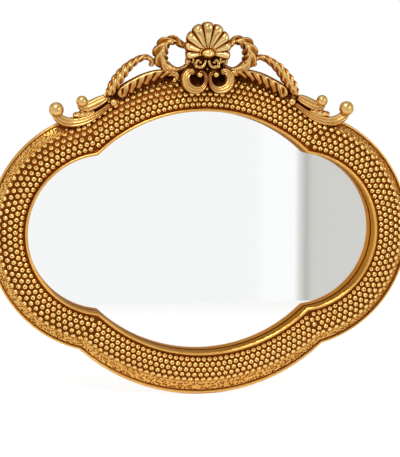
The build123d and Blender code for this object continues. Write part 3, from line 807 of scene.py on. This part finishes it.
        # The reveal keeps a thin wash, the lip less
        under_lip = sizes.lip_height - 1.6 * MM
        patina = np.where((out < 0.3 * MM) & (height < under_lip), 0.3, patina)
        patina = np.where((out < sizes.lip_width) & (height > under_lip), 0.04, patina)
        stipple = np.where((out > COVE_FROM - 0.8 * MM) & (out < rim_in + 0.1 * MM) & front, 0.8, 0.0)
        patina = np.where((stipple > 0) & ~crevice, 0.0, patina)
        hollow = in_hollow(x, z) & front
        patina = np.where(hollow, 0.8, patina)
        stipple = np.where(hollow, 1.0, stipple)
        patina = np.where(height < 0.3 * MM, 1.0, patina)
        set_layer(piece, patina)
        set_layer(piece, stipple, "stipple")

    def move_rim(self, piece):
        """Moves the cove and the rim to the rim's own oval."""
        x, y, z = corners(piece)
        x, z = with_true_rim(x, z)
        piece.data.vertices.foreach_set("co", np.stack([x, y, z], axis=1).astype(np.float32).ravel())
        piece.data.update()


class MIRROR_OT_beads(bpy.types.Operator):
    """Model one bead and set copies of it in staggered rows round the band"""

    bl_idname = "mirror.beads"
    bl_label = "Beads"

    def bead(self, radius):
        """One bead: a dome with a tiny pit in its top, washed fully dark as a painted dark reflection,
        standing on a dark foot that is partly umber wash and partly painted shade.
        """
        sides = 10
        # Radius, height and wash of each ring; the dark pit paints the dark reflection in each bead's
        # highlight, the dark foot is partly painted shade between the beads
        rings = [
            (0.98, -0.45, 0.9), (1.0, 0.08, 0.25), (0.9, 0.48, 0.0),
            (0.6, 0.82, 0.0), (0.3, 0.96, 0.0), (0.19, 0.74, 1.0),
        ]
        start_clear()
        bpy.ops.mesh.primitive_circle_add(vertices=sides, radius=rings[0][0] * radius, location=(0, 0, 0))
        piece = bpy.context.object
        bpy.ops.object.mode_set(mode="EDIT")
        for near, far in zip(rings, rings[1:]):
            rise = (far[1] - near[1]) * radius
            bpy.ops.mesh.extrude_edges_move(TRANSFORM_OT_translate={"value": (0, 0, rise)})
            bpy.ops.transform.resize(value=(far[0] / near[0], far[0] / near[0], 1))
        bpy.ops.mesh.edge_face_add()
        turn_outwards()
        piece.data.transform(Matrix.Translation((0, 0, rings[0][1] * radius)))
        set_layer(piece, np.repeat([ring[2] for ring in rings], sides))
        return piece

    def row_places(self, out, stagger):
        """Places along one row: (x, z, outward x, outward z)."""
        sizes = frame_sizes()
        beads = bpy.context.scene.mirror_beads
        drop, shift = arc_centres()
        x, z = cusp(out)
        middle_row = beads.first_row + 2 * beads.row_pitch
        arcs = []
        for arc_radius, pitch, limit, side in (
            (sizes.long_arc_radius, beads.long_pitch, atan2(x, z + drop), False),
            (sizes.side_arc_radius, beads.side_pitch, atan2(z, x - shift), True),
        ):
            # Every row has the same angle from bead to bead, so that the rows nest all along
            radius = arc_radius + out
            step = pitch / (arc_radius + middle_row)
            count = int((limit - 0.42 * pitch / radius) / step - stagger)
            turns = [(number + stagger) * step for number in range(count + 1)]
            arcs.append((radius, side, limit, turns, (limit - turns[-1]) * radius))
        gap = arcs[0][-1] + arcs[1][-1]
        if gap > 1.65 * beads.long_pitch:
            # One more bead fills what is left at the cusp
            radius, side, limit, turns, rest = max(arcs, key=lambda arc: arc[-1])
            turns.append(limit - (rest - 0.5 * gap) / radius)
        places = []
        for radius, side, limit, turns, rest in arcs:
            for turn in sorted(set([-turn for turn in turns] + turns)):
                a, b = sin(turn), cos(turn)
                for sign in (1, -1):
                    if side:
                        places.append((sign * (shift + radius * b), radius * a, sign * b, a))
                    else:
                        places.append((radius * a, sign * (radius * b - drop), a, sign * b))
        return places

    def execute(self, context):
        beads = context.scene.mirror_beads
        for row in range(beads.rows + 1):
            # The last row is of small beads, set a little closer
            last = row == beads.rows
            out = beads.first_row + row * beads.row_pitch - (1.2 * MM if last else 0)
            inner, height, outer = (float(band_height(np.array(out + step * MM))) for step in (-0.1, 0, 0.1))
            slope = (outer - inner) / (0.2 * MM)
            places = []
            for x, z, out_x, out_z in self.row_places(out, 0.5 * (row % 2)):
                x, z = (float(place) for place in with_true_rim(np.array(x), np.array(z)))
                if not in_hollow(x, z):
                    up = Vector((-slope * out_x, -1, -slope * out_z)).normalized()
                    turned = up.to_track_quat("Z", "Y").to_matrix().to_4x4()
                    places.append(Matrix.Translation((x, -height, z)) @ turned)
            row_of_beads = copied(self.bead(beads.bead_radius * (0.55 if last else 1.0)), places)
            gild(row_of_beads, f"bead_row_{row + 1}", "rubbed", smooth_angle=80)
        return {"FINISHED"}


class MIRROR_OT_shell(bpy.types.Operator):
    """Carve the scallop shell, its boss and the pearls round the boss"""

    bl_idname = "mirror.shell"
    bl_label = "Shell"

    def fan(self, root_z):
        """Fluted fan of the shell with its underside, closed along its two lowest edges too."""
        shell = bpy.context.scene.mirror_shell
        per_flute, rings, hub = 16, 30, 4.0 * MM
        flute = np.linspace(0, shell.flutes, shell.flutes * per_flute + 1)[:, None]
        turn = (flute - shell.flutes / 2) * shell.flute_pitch
        bulge = np.sqrt(np.clip(1 - (2 * (flute % 1.0) - 1) ** 2, 0, 1))
        spread = shell.flute_pitch * (shell.flutes - 1) / 2
        swing = np.cos(np.clip(turn * (pi / 2) / spread, -pi / 2, pi / 2))
        full = shell.side_reach + (shell.top_reach - shell.side_reach) * swing**1.5
        full = full * (1 - 0.1 * (1 - bulge**0.8))
        # From the hub out along a flute: share of the reach, then depth under the crown
        share = np.linspace(0, 1, rings)[None, :] ** 0.85
        along = [0, 0.2, 0.4, 0.6, 0.75, 0.86, 0.94, 0.98, 1.0]
        depth = np.interp(share, along, [4.6, 3.6, 2.3, 0.9, 0.1, 0.5, 2.0, 3.8, 6.5])
        depth = depth + (0.8 + 3.2 * share) * (1 - bulge)
        reach = hub + (full - hub) * share
        height = shell.crown_height - depth * MM
        # Wash in the grooves between flutes; the darker flute tips are painted shade where the tips curl back
        patina = np.clip((1 - bulge) ** 1.1 * 1.4, 0, 1) + np.clip(share - 0.9, 0, 1) * 5
        # The underside goes back to the hub in steps
        even = np.ones_like(full)
        unders = (0.97 * full, 24.0), (0.9 * full, 20.0), (0.62 * full, 12.4), (hub * even, 12.4)
        for under, level in unders:
            reach = np.hstack([reach, under])
            height = np.hstack([height, level * MM * even])
            patina = np.hstack([patina, 0.6 * even])
        reach, height, patina = (np.hstack([layer, layer[:, :1]]) for layer in (reach, height, patina))
        places = np.stack([reach * np.sin(turn), -height, root_z + reach * np.cos(turn)], axis=2)
        piece = bent_grid(places, patina)
        choose(piece)
        bpy.ops.object.mode_set(mode="EDIT")
        bpy.ops.mesh.select_all(action="DESELECT")
        bpy.ops.mesh.select_non_manifold(extend=False)
        bpy.ops.mesh.edge_face_add()
        bpy.ops.object.mode_set(mode="OBJECT")
        return piece

    def execute(self, context):
        root_z = on_long_arc(0, SHELL_ROOT)[1]
        gild(self.fan(root_z), "scallop_shell", "polished", "crest_shell", aside=1.0, smooth_angle=60)
        boss = sphere(48, 28, (5.6 * MM, 5.4 * MM, 3.9 * MM), (0, -29.6 * MM, root_z))
        set_layer(boss, np.clip((corners(boss)[1] + 30.5 * MM) / (2 * MM), 0, 1))
        gild(boss, "pearl_boss", "rubbed", "shell_boss", aside=1.0)
        pearl = sphere(14, 10, [0.85 * MM] * 3)
        set_layer(pearl, 0.05)
        turns = [radians(-104 + number * 208 / 12) for number in range(13)]
        places = [(7.1 * MM * sin(turn), -29.0 * MM, root_z + 5.3 * MM * cos(turn)) for turn in turns]
        gild(copied(pearl, [Matrix.Translation(place) for place in places]), "pearl_row", aside=1.0)
        return {"FINISHED"}


class MIRROR_OT_scrolls(bpy.types.Operator):
    """Carve the two C-scrolls, the tendrils and the drop between them"""

    bl_idname = "mirror.scrolls"
    bl_label = "Scrolls"

    def execute(self, context):
        limb = carved(bolder(C_SCROLL, 1.2), steps=190, across=49, ridges=1.5, ridge_depth=0.8, back=16.0)
        eye = ball(7.5, 31.9, 2.6, 27.0)
        both_sides(joined(limb, eye), "c_scroll", 1.0)
        stem = carved(bolder(TENDRIL, 1.25), steps=110, across=15, back=14.0)
        tip = ball(5.8, 42.7, 1.5, 22.6)
        bright = ball(9.5, 39.1, 2.0, 23.4)
        curl = carved(bolder(RING_CURL, 1.3), steps=70, across=13, back=15.0)
        both_sides(joined(stem, tip, bright, curl), "tendril", 1.0)
        drop = sphere(24, 16, (1, 1, 1))
        z = on_long_arc(0, 37.1 * MM)[1]
        for vertex in drop.data.vertices:
            taper = 1 - 0.55 * max(0.0, vertex.co.z)
            vertex.co.x *= 1.7 * MM * taper
            vertex.co.y = vertex.co.y * 5 * MM * taper - 19 * MM
            vertex.co.z = vertex.co.z * 3.2 * MM + z
        gild(drop, "carved_drop", node="crest_drop", aside=1.0)
        return {"FINISHED"}


class MIRROR_OT_leaves(bpy.types.Operator):
    """Carve the leaf loops, the arches and the swag leaves"""

    bl_idname = "mirror.leaves"
    bl_label = "Leaves"

    def execute(self, context):
        loop = carved(
            bolder(LEAF_LOOP, 1.08), steps=260, across=35, spine=-0.3, side=0, lobes=8.0, lean=1.2, cut=0.42,
            relief=2.8, veins=2.0, vein_depth=0.9, bare=(0.02, 0.3),
        )
        both_sides(joined(loop, ball(14.5, 44.1, 2.2, 19.6)), "leaf_loop", 0.7)
        arch = carved(
            bolder(LEAF_ARCH, 1.1), steps=240, across=27, side=0, lobes=9.0, lean=0.0, skew=0.9, cut=0.24,
            relief=2.3, veins=2.0, vein_depth=0.7, bare=(0.12, 0.0),
        )
        both_sides(arch, "leaf_arch")
        swag = carved(
            bolder(SWAG_LEAF, 1.45), steps=320, across=45, spine=0.7, side=-1, lobes=8.0, lean=1.0, cut=0.85,
            relief=3.0, veins=1.0, vein_depth=0.5, back=12.0, bare=(0.14, 0.0), pointed=0.75, onset=6.0,
        )
        both_sides(joined(swag, ball(27.2, 29.1, 2.0, 20.0)), "swag_leaf")
        return {"FINISHED"}


class MIRROR_OT_volutes(bpy.types.Operator):
    """Carve the bud and the two volutes at each end of the crest"""

    bl_idname = "mirror.volutes"
    bl_label = "Volutes"

    def execute(self, context):
        upper = carved(bolder(UPPER_VOLUTE, 1.2), steps=150, across=45, ridges=1.5, ridge_depth=0.9)
        both_sides(joined(upper, ball(109.5, 44.0, 5.0, 16.5)), "upper_volute")
        lower = carved(bolder(LOWER_VOLUTE, 1.2), steps=220, across=45, ridges=1.5, ridge_depth=0.9)
        tuft = carved(
            VOLUTE_TUFT, steps=100, across=23, spine=-0.3, side=1, lobes=4.0, lean=1.0, cut=0.35, relief=1.2,
            veins=2.0, vein_depth=0.35,
        )
        both_sides(joined(lower, tuft, ball(129.6, 53.0, 6.4, 16.5)), "lower_volute")
        both_sides(ball(86.9, 28.3, 3.3, 18.0), "crest_bud")
        return {"FINISHED"}


class MIRROR_OT_glass(bpy.types.Operator):
    """Set the glass over its silvering"""

    bl_idname = "mirror.glass"
    bl_label = "Glass"

    def execute(self, context):
        sizes = frame_sizes()
        drop, shift = arc_centres()
        x, z = cusp(GLASS_OUT)
        top, side = atan2(x, z + drop), atan2(x - shift, z)
        long_reach, side_reach = sizes.long_arc_radius + GLASS_OUT, sizes.side_arc_radius + GLASS_OUT
        outline = []
        for centre_x, centre_z, radius, first, last in (
            (0, -drop, long_reach, -top, top),
            (shift, 0, side_reach, side, pi - side),
            (0, drop, long_reach, pi - top, pi + top),
            (-shift, 0, side_reach, pi + side, 2 * pi - side),
        ):
            for step in range(48):
                turn = first + (last - first) * step / 48
                outline.append((centre_x + radius * sin(turn), -5.02 * MM, centre_z + radius * cos(turn)))
        glass = drawn_line(outline)
        bpy.ops.mesh.edge_face_add()
        bpy.ops.mesh.extrude_region_move(TRANSFORM_OT_translate={"value": (0, -2.98 * MM, 0)})
        turn_outwards()
        settle(glass, "float_glass", smooth_angle=30)
        # Clear float glass, polished on both faces
        material, tree, shader = fresh_material("float glass")
        white = linear("ffffff")
        fill(tree, shader, {"Base Color": white, "Roughness": 0.0, "IOR": 1.52, "Transmission Weight": 1.0})
        give(glass, material)
        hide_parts("mirror_glass")
        # Chemically silvered coat: almost all light comes back, very slightly cool
        silver, tree, shader = fresh_material("wet-silvered coat")
        place = add_node(tree, "TexCoord", "Object")
        cloud = add_node(tree, "TexNoise", "Fac", {"Vector": place, "Scale": 1 / 0.04, "Detail": 2.0})
        rough = add_node(tree, "MapRange", "Result", [cloud, 0.0, 1.0, 0.0, 0.012])
        fill(tree, shader, {"Roughness": rough, "Base Color": linear("fbfcfc"), "Metallic": 1.0})
        dress("silvering", silver)
        return {"FINISHED"}


class MIRROR_OT_backing(bpy.types.Operator):
    """Finish the back: board, packing, turn buttons, screws, D-ring hangers and bumpers"""

    bl_idname = "mirror.backing"
    bl_label = "Backing"

    def screw(self, profile, top, arm):
        """Screw turned from its profile (radius, depth), with a cross recess in its head."""
        start_clear()
        bpy.ops.mesh.primitive_circle_add(vertices=28, radius=profile[0][0] * MM, location=(0, 0, 0))
        piece = bpy.context.object
        bpy.ops.object.mode_set(mode="EDIT")
        bpy.ops.mesh.edge_face_add()
        bpy.ops.mesh.select_mode(type="EDGE")
        for near, far in zip(profile, profile[1:]):
            rise = (far[1] - near[1]) * MM
            bpy.ops.mesh.extrude_region_move(TRANSFORM_OT_translate={"value": (0, 0, rise)})
            bpy.ops.transform.resize(value=(far[0] / near[0], far[0] / near[0], 1))
        turn_outwards()
        piece.data.transform(Matrix.Translation((0, 0, profile[0][1] * MM)))
        for size in ((arm, 0.75, 1.6), (0.75, arm, 1.6)):
            start_clear()
            bpy.ops.mesh.primitive_cube_add(size=1, location=(0, 0, top * MM))
            cutter = bpy.context.object
            cutter.data.transform(Matrix.Diagonal((size[0] * MM, size[1] * MM, size[2] * MM, 1)))
            choose(piece)
            recess = piece.modifiers.new("Recess", "BOOLEAN")
            recess.object = cutter
            recess.solver = "EXACT"
            bpy.ops.object.modifier_apply(modifier=recess.name)
            bpy.data.objects.remove(cutter)
        piece.data.transform(Matrix.Rotation(-pi / 2, 4, "X"))
        return piece

    def screws(self, pattern, places, name, node, material, slot):
        """Copies of a screw at its places, each turned to its own end of driving."""
        piece = copied(pattern, [
            Matrix.Translation((x, 0, z)) @ Matrix.Rotation(0.7 + 1.9 * number, 4, "Y")
            for number, (x, z) in enumerate(places)
        ])
        settle(piece, name, smooth_angle=35)
        give(piece, material)
        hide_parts(node)

    def wire_ring(self, side, brass):
        """D-ring of round wire in the eye of its strap."""
        half, bend, wire = 8.0, 2.5, 1.0
        corners = []
        for middle_x, middle_z, radius, first, last, count in (
            (half - bend, bend, bend, -90, 0, 8),
            (0, bend, half, 0, 180, 28),
            (bend - half, bend, bend, 180, 270, 8),
        ):
            for turn in np.radians(np.linspace(first, last, count + 1)):
                a, b = cos(turn), sin(turn)
                corners.append((middle_x + radius * a, middle_z + radius * b, a, b))
        corners += [(-3.0, 0, 0, -1), (0, 0, 0, -1), (3.0, 0, 0, -1)]
        path = np.array(corners + corners[:1])
        around = np.linspace(0, 2 * pi, 17)[None, :]
        x = (100 * side + path[:, 0:1]) + wire * np.cos(around) * path[:, 2:3]
        z = (96 - path[:, 1:2]) - wire * np.cos(around) * path[:, 3:4]
        y = 2.5 + wire * np.sin(around) + np.zeros_like(x)
        ring = bent_grid(np.stack([x, y, z], axis=2) * MM, np.zeros_like(x))
        name = "right" if side > 0 else "left"
        settle(ring, f"wire_ring_{name}", body=f"ring_{name}", smooth_angle=60)
        give(ring, brass)
        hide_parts(f"hanger_ring_{name}")

    def execute(self, context):
        sizes = frame_sizes()
        for node, *settings in (
            # Brown board with a fine felted surface
            ("back_panel", "pressed hardboard", "7a5433", "55361d", 0.0011, 0.0, (0.6, 0.85), 0.25),
            # Off-white sheet full of small closed bubbles
            ("packing_sheet", "foamed polyethylene", "f2f2ee", "dcdcd6", 0.0009, 0.0, (0.5, 0.7), 0.4),
            # Dull black, with the bloom of moulded rubber
            ("wall_bumpers", "moulded rubber", "1c1c1b", "0e0e0e", 0.0007, 0.0, (0.6, 0.8), 0.15),
        ):
            dress(node, grained_material(*settings))
        # Pale blue-grey zinc with the soft grain of pressed sheet
        zinc = ("zinc-plated pressed steel", "c9ccce", "a4a8ab", 0.002, 1.0, (0.25, 0.45), 0.06)
        zinc = grained_material(*zinc)
        # Pale yellow plating, a little streaked
        brass = ("brass-plated steel", "e3c27c", "c79c50", 0.003, 1.0, (0.16, 0.32), 0.05, (1, 1, 3))
        brass = grained_material(*brass)
        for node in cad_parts:
            if node.startswith("turn_button"):
                dress(node, zinc)
            if node.startswith("hanger_strap"):
                dress(node, brass)
        pivot, aside = 16.5 * MM, 45 * MM
        high = sqrt((sizes.long_arc_radius + pivot) ** 2 - aside**2) - arc_centres()[0]
        across = sizes.sight_half_width + pivot
        places = [(aside, high), (-aside, high), (-across, 0), (-aside, -high), (aside, -high), (across, 0)]
        pan = self.screw(
            [(1.5, -6), (1.5, 1.6), (3.0, 1.6), (3.0, 2.5), (2.8, 2.95), (2.3, 3.25), (1.4, 3.38)], 3.4, 3.2
        )
        self.screws(pan, places, "pan_head_screws", "button_screws", zinc, "plated_steel")
        flat = self.screw([(1.5, -6), (1.5, 0.2), (2.5, 1.15), (2.5, 1.2)], 1.2, 2.8)
        places = [(100 * MM, 90.6 * MM), (-100 * MM, 90.6 * MM)]
        self.screws(flat, places, "flat_head_screws", "hanger_screws", brass, "brass_plate")
        for side in (1, -1):
            self.wire_ring(side, brass)
        return {"FINISHED"}


class MIRROR_OT_stage(bpy.types.Operator):
    """Set the table, the room tones, the lamps and the camera"""

    bl_idname = "mirror.stage"
    bl_label = "Stage"

    def lamp(self, name, place, aim, width, power):
        """Square soft lamp."""
        start_clear()
        turn = (Vector(aim) - Vector(place)).to_track_quat("-Z", "Y").to_euler()
        bpy.ops.object.light_add(type="AREA", location=place, rotation=turn)
        lamp = bpy.context.object
        lamp.name = name
        lamp.data.shape = "SQUARE"
        lamp.data.size = width
        lamp.data.energy = power

    def table(self):
        """White table; in the mirror its near end melts into the tone of the wall."""
        start_clear()
        bpy.ops.mesh.primitive_plane_add(size=6, location=(0, 2.46, -146.2 * MM))
        table = applied(bpy.context.object)
        table.name = "table_top"
        material, tree, shader = fresh_material("white table laminate")
        fill(tree, shader, {"Base Color": linear("f2f2f0"), "Roughness": 0.55})
        paths = add_node(tree, "LightPath").outputs
        place = add_node(tree, "TexCoord", "Object")
        near = add_node(tree, "SeparateXYZ", "Y", [place])
        tone = add_node(tree, "MapRange", "Result", [near, -0.54, -0.38, 0.3, 0.42])
        bent = [paths["Is Glossy Ray"], paths["Is Transmission Ray"]]
        bent = add_node(tree, "Math", "Value", bent, operation="MAXIMUM")
        bent = add_node(tree, "Math", "Value", [bent, tone], operation="MULTIPLY")
        lift = add_node(tree, "Math", "Value", [paths["Is Camera Ray"], 0.72, bent], operation="MULTIPLY_ADD")
        glow = add_node(tree, "Emission", "Emission", {"Strength": lift})
        both = add_node(tree, "AddShader", "Shader", [shader.outputs["BSDF"], glow])
        tree.links.new(both, tree.get_output_node("ALL").inputs["Surface"])
        table.data.materials.append(material)

    def room(self, scene):
        """White room as the world, with darker side walls that the gold reflects."""
        scene.world = bpy.data.worlds.new("white room")
        scene.world.use_nodes = True
        tree = scene.world.node_tree
        tree.nodes.clear()
        paths = add_node(tree, "LightPath").outputs
        seen = paths["Is Camera Ray"]
        for path in ("Is Glossy Ray", "Is Transmission Ray"):
            seen = add_node(tree, "Math", "Value", [seen, paths[path]], operation="MAXIMUM")
        level = add_node(tree, "MapRange", "Result", [seen, 0.0, 1.0, 0.5, 1.0])
        way = add_node(tree, "TexCoord", "Generated")
        way = add_node(tree, "SeparateXYZ", inputs=[way]).outputs
        facing = add_node(tree, "Math", "Value", [way["Y"]], operation="ABSOLUTE")
        # The walls before and behind are white at eye level, the side walls are in shade
        walls = add_node(tree, "MapRange", "Result", [facing, 0.25, 0.65, 0.16, 1.0])
        steep = add_node(tree, "Math", "Value", [way["Z"]], operation="ABSOLUTE")
        band = add_node(tree, "MapRange", "Result", [steep, 0.16, 0.36, 1.0, 0.4])
        shade = add_node(tree, "Math", "Value", [walls, band], operation="MULTIPLY")
        # A pale ceiling, a window on the left, and a paler one on the right
        lights = ("Z", 0.55, 0.85, 0.85), ("X", -0.5, -0.8, 0.95), ("X", 0.5, 0.8, 0.85)
        for axis, near, far, tone in lights:
            light = add_node(tree, "MapRange", "Result", [way[axis], near, far, 0.0, tone])
            shade = add_node(tree, "Math", "Value", [shade, light], operation="MAXIMUM")
        # What the glass shows: the wall, a bright strip and a grey one
        aside = add_node(tree, "Math", "Value", [way["X"], facing], operation="DIVIDE")
        ramp = add_node(tree, "ValToRGB", inputs=[aside])
        for place, tone in (
            (0.188, "f9fafa"), (0.194, "ffffff"), (0.216, "ffffff"), (0.221, "b5b2aa"), (0.227, "d2d1cd"),
            (0.32, "d8d7d4"), (0.5, "f4f4f2"),
        ):
            ramp.color_ramp.elements.new(place).color = linear(tone)
        ramp.color_ramp.elements[0].color = linear("f9fafa")
        ramp.color_ramp.elements[-1].color = linear("f4f4f2")
        room = {0: 1.0, 6: ramp.outputs["Color"], 7: shade}
        room = add_node(tree, "Mix", 2, room, data_type="RGBA", blend_type="MULTIPLY")
        colour = {0: paths["Is Camera Ray"], 6: room, 7: linear("ffffff")}
        colour = add_node(tree, "Mix", 2, colour, data_type="RGBA")
        sky = add_node(tree, "Background", "Background", {"Strength": level, "Color": colour})
        add_node(tree, "OutputWorld", inputs=[sky])

    def execute(self, context):
        stage = context.scene.mirror_stage
        context.scene.view_settings.view_transform = "Standard"
        self.table()
        self.room(context.scene)
        self.lamp("key_lamp", (-0.45, -1.0, 1.45), (0, 0, 0), 0.6, stage.key_power)
        self.lamp("fill_lamp", (1.3, -1.4, 0.6), (0, 0, 0), 0.9, stage.fill_power)

        start_clear()
        place, aim = Vector(stage.camera_place), Vector(stage.camera_aim)
        turn = (aim - place).to_track_quat("-Z", "Y").to_euler()
        bpy.ops.object.camera_add(location=place, rotation=turn)
        camera = bpy.context.object
        camera.data.sensor_fit = "HORIZONTAL"
        camera.data.sensor_width = 36
        camera.data.lens = stage.lens
        camera.data.clip_start = 0.01
        context.scene.camera = camera
        return {"FINISHED"}


class MIRROR_PT_panel(bpy.types.Panel):
    """Lists the mirror's pieces"""

    bl_label = "Oval gilt mirror"
    bl_space_type = "VIEW_3D"
    bl_region_type = "UI"
    bl_category = "Mirror"

    def draw(self, context):
        layout = self.layout
        for operator in OPERATORS:
            layout.operator(operator.bl_idname)
        for group in ("mirror_frame", "mirror_beads", "mirror_shell", "mirror_finish", "mirror_stage"):
            settings = getattr(context.scene, group)
            column = layout.column(heading=group)
            for name in settings.__annotations__:
                column.prop(settings, name)


GROUPS = {
    "mirror_frame": MirrorFrameSizes,
    "mirror_beads": MirrorBeads,
    "mirror_shell": MirrorShell,
    "mirror_finish": MirrorFinish,
    "mirror_stage": MirrorStage,
}
OPERATORS = (
    MIRROR_OT_frame,
    MIRROR_OT_beads,
    MIRROR_OT_shell,
    MIRROR_OT_scrolls,
    MIRROR_OT_leaves,
    MIRROR_OT_volutes,
    MIRROR_OT_glass,
    MIRROR_OT_backing,
    MIRROR_OT_stage,
)


def register():
    """Registers the settings, the operators and the panel."""
    for name, group in GROUPS.items():
        bpy.utils.register_class(group)
        setattr(bpy.types.Scene, name, PointerProperty(type=group))
    for operator in OPERATORS:
        bpy.utils.register_class(operator)
    bpy.utils.register_class(MIRROR_PT_panel)


def unregister():
    """Takes everything back out, last first."""
    bpy.utils.unregister_class(MIRROR_PT_panel)
    for operator in reversed(OPERATORS):
        bpy.utils.unregister_class(operator)
    for name, group in reversed(GROUPS.items()):
        delattr(bpy.types.Scene, name)
        bpy.utils.unregister_class(group)


def main():
    register()
    for operator in OPERATORS:
        group, name = operator.bl_idname.split(".")
        getattr(getattr(bpy.ops, group), name)()


if __name__ == "__main__":
    main()
